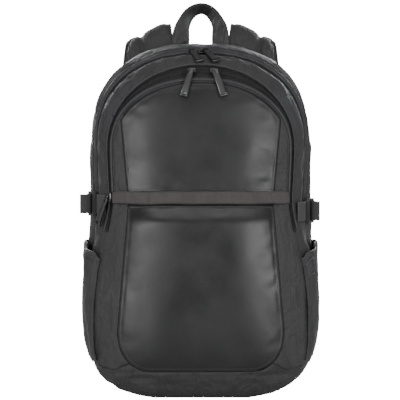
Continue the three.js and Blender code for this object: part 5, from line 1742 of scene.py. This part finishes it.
def pad_mesh(outline, base, thickness):
    """A closed crowned pad on the back panel, thin at its sewn edge."""
    dense, = resampled(np.vstack([outline, outline[:1]]), 5.0)
    dense = dense[:-1]
    centre = dense.mean(0)
    layers = (
        (0.0, 0.0), (0.0, 0.3), (0.02, 0.42), (0.06, 0.62), (0.14, 0.78), (0.3, 0.86), (0.6, 0.88),
        (0.96, 0.88)
    )
    rings = []
    for share, lift in layers:
        flat = mix(dense, centre, share)
        rings.append(np.stack([flat[:, 0], np.full(len(flat), base + lift * thickness), flat[:, 1]], -1))
    return np.stack(rings), dense


FILLING = SimpleNamespace(pressure=4.0, most=5.0, cell=5.0, frames=20)


def swell(piece, base):
    """Fills a pad by a short cloth simulation held at its sewn side, with a limit to how far it moves."""
    remesh = piece.modifiers.new("even mesh", "REMESH")
    remesh.mode = "VOXEL"
    remesh.voxel_size = FILLING.cell * MM
    bake_modifiers(piece)
    rest = mesh_points(piece)
    held = piece.vertex_groups.new(name="sewn")
    sewn = np.flatnonzero(rest[:, 1] < (base + 2.2) * MM + ORIGIN[1])
    held.add(sewn.tolist(), 1.0, "REPLACE")
    cloth = piece.modifiers.new("filling", "CLOTH")
    settings = cloth.settings
    settings.quality = 6
    settings.mass = 0.25
    settings.tension_stiffness = settings.compression_stiffness = 18
    settings.shear_stiffness = 8
    settings.bending_stiffness = 0.6
    settings.use_pressure = True
    settings.uniform_pressure_force = FILLING.pressure
    settings.shrink_min = -0.05
    settings.vertex_group_mass = held.name
    settings.effector_weights.gravity = 0
    scene = bpy.context.scene
    for number in range(1, FILLING.frames + 1):
        scene.frame_set(number)
    filled = mesh_points(piece, evaluated=True)
    move = filled - rest
    size = np.linalg.norm(move, axis=1, keepdims=True)
    move = move * np.minimum(1, FILLING.most * MM / np.maximum(size, 1e-9))
    piece.modifiers.remove(cloth)
    scene.frame_set(1)
    piece.data.vertices.foreach_set("co", (rest + move).astype(np.float32).ravel())
    piece.data.update()


def bake_modifiers(piece):
    """Replaces a piece's mesh by what its modifiers make of it."""
    bpy.context.view_layer.update()
    shown = piece.evaluated_get(bpy.context.evaluated_depsgraph_get())
    mesh = bpy.data.meshes.new_from_object(shown)
    piece.modifiers.clear()
    piece.data = mesh
    mesh.polygons.foreach_set("use_smooth", np.ones(len(mesh.polygons), bool))


def mesh_points(piece, evaluated=False):
    holder = piece.evaluated_get(bpy.context.evaluated_depsgraph_get()) if evaluated else piece
    points = np.zeros(len(holder.data.vertices) * 3, np.float32)
    holder.data.vertices.foreach_get("co", points)
    return points.reshape(-1, 3).astype(float)


# Sewn channels across the right back pad, from x and z to x and z
PAD_CHANNELS = ((20, 220, 112, 236), (20, 312, 108, 322))
BINDING_RADIUS = 2.0


def back_pad(name, outline, thickness, replaces, channels=()):
    """A foam pad covered in spacer mesh, sewn down round its edge and along its channels."""
    base = BACK_FACE + GAP
    rings, dense = pad_mesh(outline, base, thickness)
    piece = new_solid(name, rings, "mesh", "back_mesh", replaces)
    swell(piece, base)
    points = mesh_points(piece)
    local = (points - ORIGIN) / MM
    edge = outline_distance(local[:, 0], local[:, 2], dense)
    outer = local[:, 1] > base + 1.5
    drop = seam_drop(edge - 1.5, 0.55 * thickness, 7)
    for x0, z0, x1, z1 in channels:
        line = np.array([(x0, z0), (x1, z1)], float)
        away = outline_distance(local[:, 0], local[:, 2], line)
        drop = drop + groove(away, 0.4 * thickness, 4)
    local[:, 1] = np.where(outer, np.maximum(local[:, 1] + drop, base + 1.2), local[:, 1])
    piece.data.vertices.foreach_set("co", to_world(local).astype(np.float32).ravel())
    smooth = piece.modifiers.new("finer", "SUBSURF")
    smooth.levels = smooth.render_levels = 1
    closed = np.vstack([dense, dense[:2]])
    path = np.stack([closed[:, 0], np.full(len(closed), base + BINDING_RADIUS), closed[:, 1]], -1)
    bead(f"{name}_binding", path, BINDING_RADIUS, "trim", "trim")


# Settings that a user would change
class BackpackColours(bpy.types.PropertyGroup):
    """Colours of the backpack's materials."""

    cloth: FloatVectorProperty(name="Cloth", description="Main cloth", subtype="COLOR",
                               default=(0.036, 0.036, 0.0355))
    trim: FloatVectorProperty(name="Trim", description="Smooth strips, piping and handle", subtype="COLOR",
                              default=(0.036, 0.036, 0.039))
    flap: FloatVectorProperty(name="Flap", description="Flap over the front pocket", subtype="COLOR",
                              default=(0.062, 0.055, 0.054))
    leather: FloatVectorProperty(name="Leather", description="Front panels", subtype="COLOR",
                                 default=(0.013, 0.013, 0.013))
    webbing: FloatVectorProperty(name="Webbing", description="Woven straps", subtype="COLOR",
                                 default=(0.062, 0.062, 0.062))
    mesh: FloatVectorProperty(name="Back mesh", description="Spacer mesh on the back", subtype="COLOR",
                              default=(0.06, 0.06, 0.06))
    tape: FloatVectorProperty(name="Zip", description="Zip tape and coil", subtype="COLOR",
                              default=(0.008, 0.008, 0.008))
    metal: FloatVectorProperty(name="Metal", description="Sliders and tab frames", subtype="COLOR",
                               default=(0.07, 0.07, 0.07))
    rubber: FloatVectorProperty(name="Tab middle", description="Moulded middle of the zip tabs",
                                subtype="COLOR", default=(0.03, 0.03, 0.03))
    moulded: FloatVectorProperty(name="Locks", description="Moulded ladder locks", subtype="COLOR",
                                 default=(0.045, 0.045, 0.045))


class BackpackSewing(bpy.types.PropertyGroup):
    """Sizes of the stitches."""

    pitch: FloatProperty(name="Pitch", description="From one stitch to the next", default=0.0034,
                         unit="LENGTH")
    length: FloatProperty(name="Length", description="Length of a stitch", default=0.0025, unit="LENGTH")
    thread: FloatProperty(name="Thread", description="Thickness of the thread", default=0.0007,
                          unit="LENGTH")


class BackpackStudio(bpy.types.PropertyGroup):
    """The camera and the lights."""

    distance: FloatProperty(name="Distance", description="Camera to the middle of the view", default=5.0,
                            unit="LENGTH")
    view_height: FloatProperty(name="View height", description="Size of the view at the bag", default=0.52,
                               unit="LENGTH")
    target: FloatProperty(name="Target", description="Height of the view's middle", default=0.2507,
                          unit="LENGTH")
    elevation: FloatProperty(name="Elevation", description="Camera above the level",
                             default=math.radians(2), subtype="ANGLE")
    front_light: FloatProperty(name="Front lights", description="Power of each front light in watts",
                               default=33)
    side_light: FloatProperty(name="Side lights", description="Power of each side light in watts",
                              default=7)
    top_light: FloatProperty(name="Top light", description="Power of the overhead light in watts",
                             default=13)
    backdrop_glow: FloatProperty(name="Backdrop", description="Brightness of the backdrop", default=18)


class MaterialOperator(bpy.types.Operator):
    """Make the shared effects: weave, folds with painted shade in their hollows, leather grain, and
    handling with dust and a painted highlight on sharp edges
    """

    bl_idname = "backpack.effects"
    bl_label = "Shared effects"

    def execute(self, context):
        for make in (weave_group, crumple_group, grain_group, handling_dust_highlight_group):
            make()
        return {"FINISHED"}


class BandsOperator(bpy.types.Operator):
    """Sew the bands of cloth round the bag and the base"""

    bl_idname = "backpack.bands"
    bl_label = "Bands and base"

    def execute(self, context):
        main_band()
        mid_band()
        boot()
        fill_seams()
        return {"FINISHED"}


class ZipsOperator(bpy.types.Operator):
    """Set in the two long zips, their sliders and tabs"""

    bl_idname = "backpack.zips"
    bl_label = "Zips"

    def execute(self, context):
        zip_row("main_zip", MAIN_REAR, ZIP.main_end, ["main_zip"])
        zip_row("mid_zip", MID_REAR, ZIP.mid_end, ["mid_zip"])
        for row in PULLS:
            zip_pull(*row)
        return {"FINISHED"}


class FrontOperator(bpy.types.Operator):
    """Sew the leather panels, the flap, the piping and the cloth beside them"""

    bl_idname = "backpack.front"
    bl_label = "Front"

    def execute(self, context):
        front_piping()
        lower_leather()
        upper_leather()
        pocket_flap()
        for side, sign in SIDES.items():
            upper_strip(side, sign)
            lower_border(side, sign)
        return {"FINISHED"}


class PocketsOperator(bpy.types.Operator):
    """Sew the side pockets and the blank tag"""

    bl_idname = "backpack.pockets"
    bl_label = "Side pockets"

    def execute(self, context):
        for side, sign in SIDES.items():
            side_pocket(side, sign)
        pocket_tag()
        return {"FINISHED"}


class WebbingOperator(bpy.types.Operator):
    """Thread the compression straps and the lower webs through their locks"""

    bl_idname = "backpack.webbing"
    bl_label = "Webbing and locks"

    def execute(self, context):
        for side, sign in SIDES.items():
            side_strap(side, sign)
            lower_strap(side, sign)
        locks()
        return {"FINISHED"}


class CarryingOperator(bpy.types.Operator):
    """Make the shoulder straps and the handle"""

    bl_idname = "backpack.carrying"
    bl_label = "Straps and handle"

    def execute(self, context):
        for side, sign in SIDES.items():
            shoulder_pad(side, sign)
        carry_handle()
        return {"FINISHED"}


class BackOperator(bpy.types.Operator):
    """Make the back panel and fill its pads"""

    bl_idname = "backpack.back"
    bl_label = "Back"

    def execute(self, context):
        back_sheet()
        for side, sign in SIDES.items():
            channels = [(sign * x0, z0, sign * x1, z1) for x0, z0, x1, z1 in PAD_CHANNELS]
            outline = pad_outline(sign)
            back_pad(f"back_cushion_{side}", outline, BACK_PAD.thickness, [f"back_pad_{side}"], channels)
        back_pad("lumbar_cushion", lumbar_outline(), LUMBAR_PAD.thickness, ["lumbar_pad"])
        return {"FINISHED"}


class StageOperator(bpy.types.Operator):
    """Set up the floor, the backdrop, the lights and the camera"""

    bl_idname = "backpack.stage"
    bl_label = "Stage"

    def execute(self, context):
        stage(context.scene)
        return {"FINISHED"}


def stage(scene):
    studio = scene.backpack_studio
    rise = np.linspace(0, np.pi / 2, 13)[1:]
    radius = np.concatenate([[0.01, 2, 4, 6, 8], 8 + 2.5 * np.sin(rise), [10.5]])
    height = np.concatenate([np.zeros(5), 2.5 * (1 - np.cos(rise)), [9]])
    turn = np.linspace(0, 2 * np.pi, 49)[:-1]
    round_part = np.stack([np.cos(turn), np.sin(turn)], -1)
    level = np.broadcast_to(height[:, None, None], (len(radius), 48, 1))
    points = np.concatenate([radius[:, None, None] * round_part, level], -1)
    mesh = bpy.data.meshes.new("backdrop")
    mesh.from_pydata(points.reshape(-1, 3).tolist(), [], grid_faces(len(radius), 48, closed=True).tolist())
    mesh.polygons.foreach_set("use_smooth", np.ones(len(mesh.polygons), bool))
    paper = bpy.data.materials.new("backdrop paper")
    paper.use_nodes = True
    shader = next(node for node in paper.node_tree.nodes if node.type == "BSDF_PRINCIPLED")
    shader.inputs["Base Color"].default_value = (0.88, 0.88, 0.88, 1)
    shader.inputs["Roughness"].default_value = 0.9
    shader.inputs["Emission Color"].default_value = (1, 1, 1, 1)
    shader.inputs["Emission Strength"].default_value = studio.backdrop_glow
    mesh.materials.append(paper)
    backdrop = bpy.data.objects.new("backdrop", mesh)
    scene.collection.objects.link(backdrop)
    for ray in ("diffuse", "glossy", "transmission", "volume_scatter", "shadow"):
        setattr(backdrop, f"visible_{ray}", False)

    floor_mesh = bpy.data.meshes.new("bounce floor")
    edge = [(3 * a, 3 * b, -0.001) for a, b in round_part]
    floor_mesh.from_pydata(edge, [], [list(range(len(edge)))])
    card = bpy.data.materials.new("bounce card")
    card.use_nodes = True
    mottle = put(card.node_tree, "ShaderNodeTexNoise", [("Scale", 3.0)])
    tone = put(card.node_tree, "ShaderNodeMapRange", [(0, mottle.outputs[0]), (3, 0.68), (4, 0.76)])
    base = next(node for node in card.node_tree.nodes if node.type == "BSDF_PRINCIPLED")
    card.node_tree.links.new(tone.outputs[0], base.inputs["Base Color"])
    floor_mesh.materials.append(card)
    floor = bpy.data.objects.new("bounce_floor", floor_mesh)
    floor.visible_camera = False
    scene.collection.objects.link(floor)

    world = bpy.data.worlds.new("studio")
    scene.world = world
    world.use_nodes = True
    world.node_tree.nodes["Background"].inputs[0].default_value = (0.9, 0.95, 1.0, 1)
    world.node_tree.nodes["Background"].inputs[1].default_value = 0.1

    lights = (
        ("left light", (-1.35, -2.5, 0.8), (0, 0, 0.28), (1.3, 1.45), 1.1 * studio.front_light),
        ("right light", (1.4, -2.5, 0.8), (0, 0, 0.28), (1.2, 1.45), 1.15 * studio.front_light),
        ("left side light", (-2.0, -0.1, 0.8), (0, 0, 0.25), (0.8, 1.4), studio.side_light),
        ("right side light", (2.0, -0.1, 0.8), (0, 0, 0.25), (0.8, 1.4), studio.side_light),
        ("top light", (0, -0.9, 2.2), (0, 0, 0.2), (1.6, 1.0), studio.top_light),
        ("left back light", (-0.8, 2.7, 1.1), (0, 0, 0.25), (1.2, 1.2), 5 * studio.side_light),
        ("right back light", (0.8, 2.7, 1.1), (0, 0, 0.25), (1.2, 1.2), 5 * studio.side_light),
    )
    for name, place, aim, (wide, high), watts in lights:
        data = bpy.data.lights.new(name, "AREA")
        data.shape = "RECTANGLE"
        data.size, data.size_y = wide, high
        data.energy = watts
        light = bpy.data.objects.new(name, data)
        light.location = place
        light.rotation_euler = (Vector(aim) - Vector(place)).to_track_quat("-Z", "Y").to_euler()
        scene.collection.objects.link(light)

    data = bpy.data.cameras.new("camera")
    data.sensor_width = 36
    data.lens = 36 * studio.distance / studio.view_height
    camera = bpy.data.objects.new("camera", data)
    target = Vector((ORIGIN[0] - 0.00104, 0, studio.target))
    back = Vector((0, -math.cos(studio.elevation), math.sin(studio.elevation)))
    camera.location = target + back * studio.distance
    camera.rotation_euler = (-back).to_track_quat("-Z", "Y").to_euler()
    scene.collection.objects.link(camera)
    scene.camera = camera


STEPS = (
    MaterialOperator, BandsOperator, ZipsOperator, FrontOperator, PocketsOperator, WebbingOperator,
    CarryingOperator,
    BackOperator, StageOperator,
)
SETTINGS = {
    "backpack_colours": BackpackColours, "backpack_sewing": BackpackSewing,
    "backpack_studio": BackpackStudio,
}


class BackpackPanel(bpy.types.Panel):
    """Lists the backpack's settings and the steps that build it"""

    bl_idname = "VIEW3D_PT_backpack"
    bl_label = "Laptop backpack"
    bl_space_type = "VIEW_3D"
    bl_region_type = "UI"
    bl_category = "Backpack"

    def draw(self, context):
        for name, settings in SETTINGS.items():
            box = self.layout.box()
            for field in settings.__annotations__:
                box.prop(getattr(context.scene, name), field)
        for step in STEPS:
            self.layout.operator(step.bl_idname)


def register():
    for cls in (*SETTINGS.values(), *STEPS, BackpackPanel):
        bpy.utils.register_class(cls)
    for name, settings in SETTINGS.items():
        setattr(bpy.types.Scene, name, PointerProperty(type=settings))


def unregister():
    for name in SETTINGS:
        delattr(bpy.types.Scene, name)
    for cls in reversed((*SETTINGS.values(), *STEPS, BackpackPanel)):
        bpy.utils.unregister_class(cls)


def main():
    register()
    for step in STEPS:
        group, name = step.bl_idname.split(".")
        getattr(getattr(bpy.ops, group), name)()


if __name__ == "__main__":
    main()
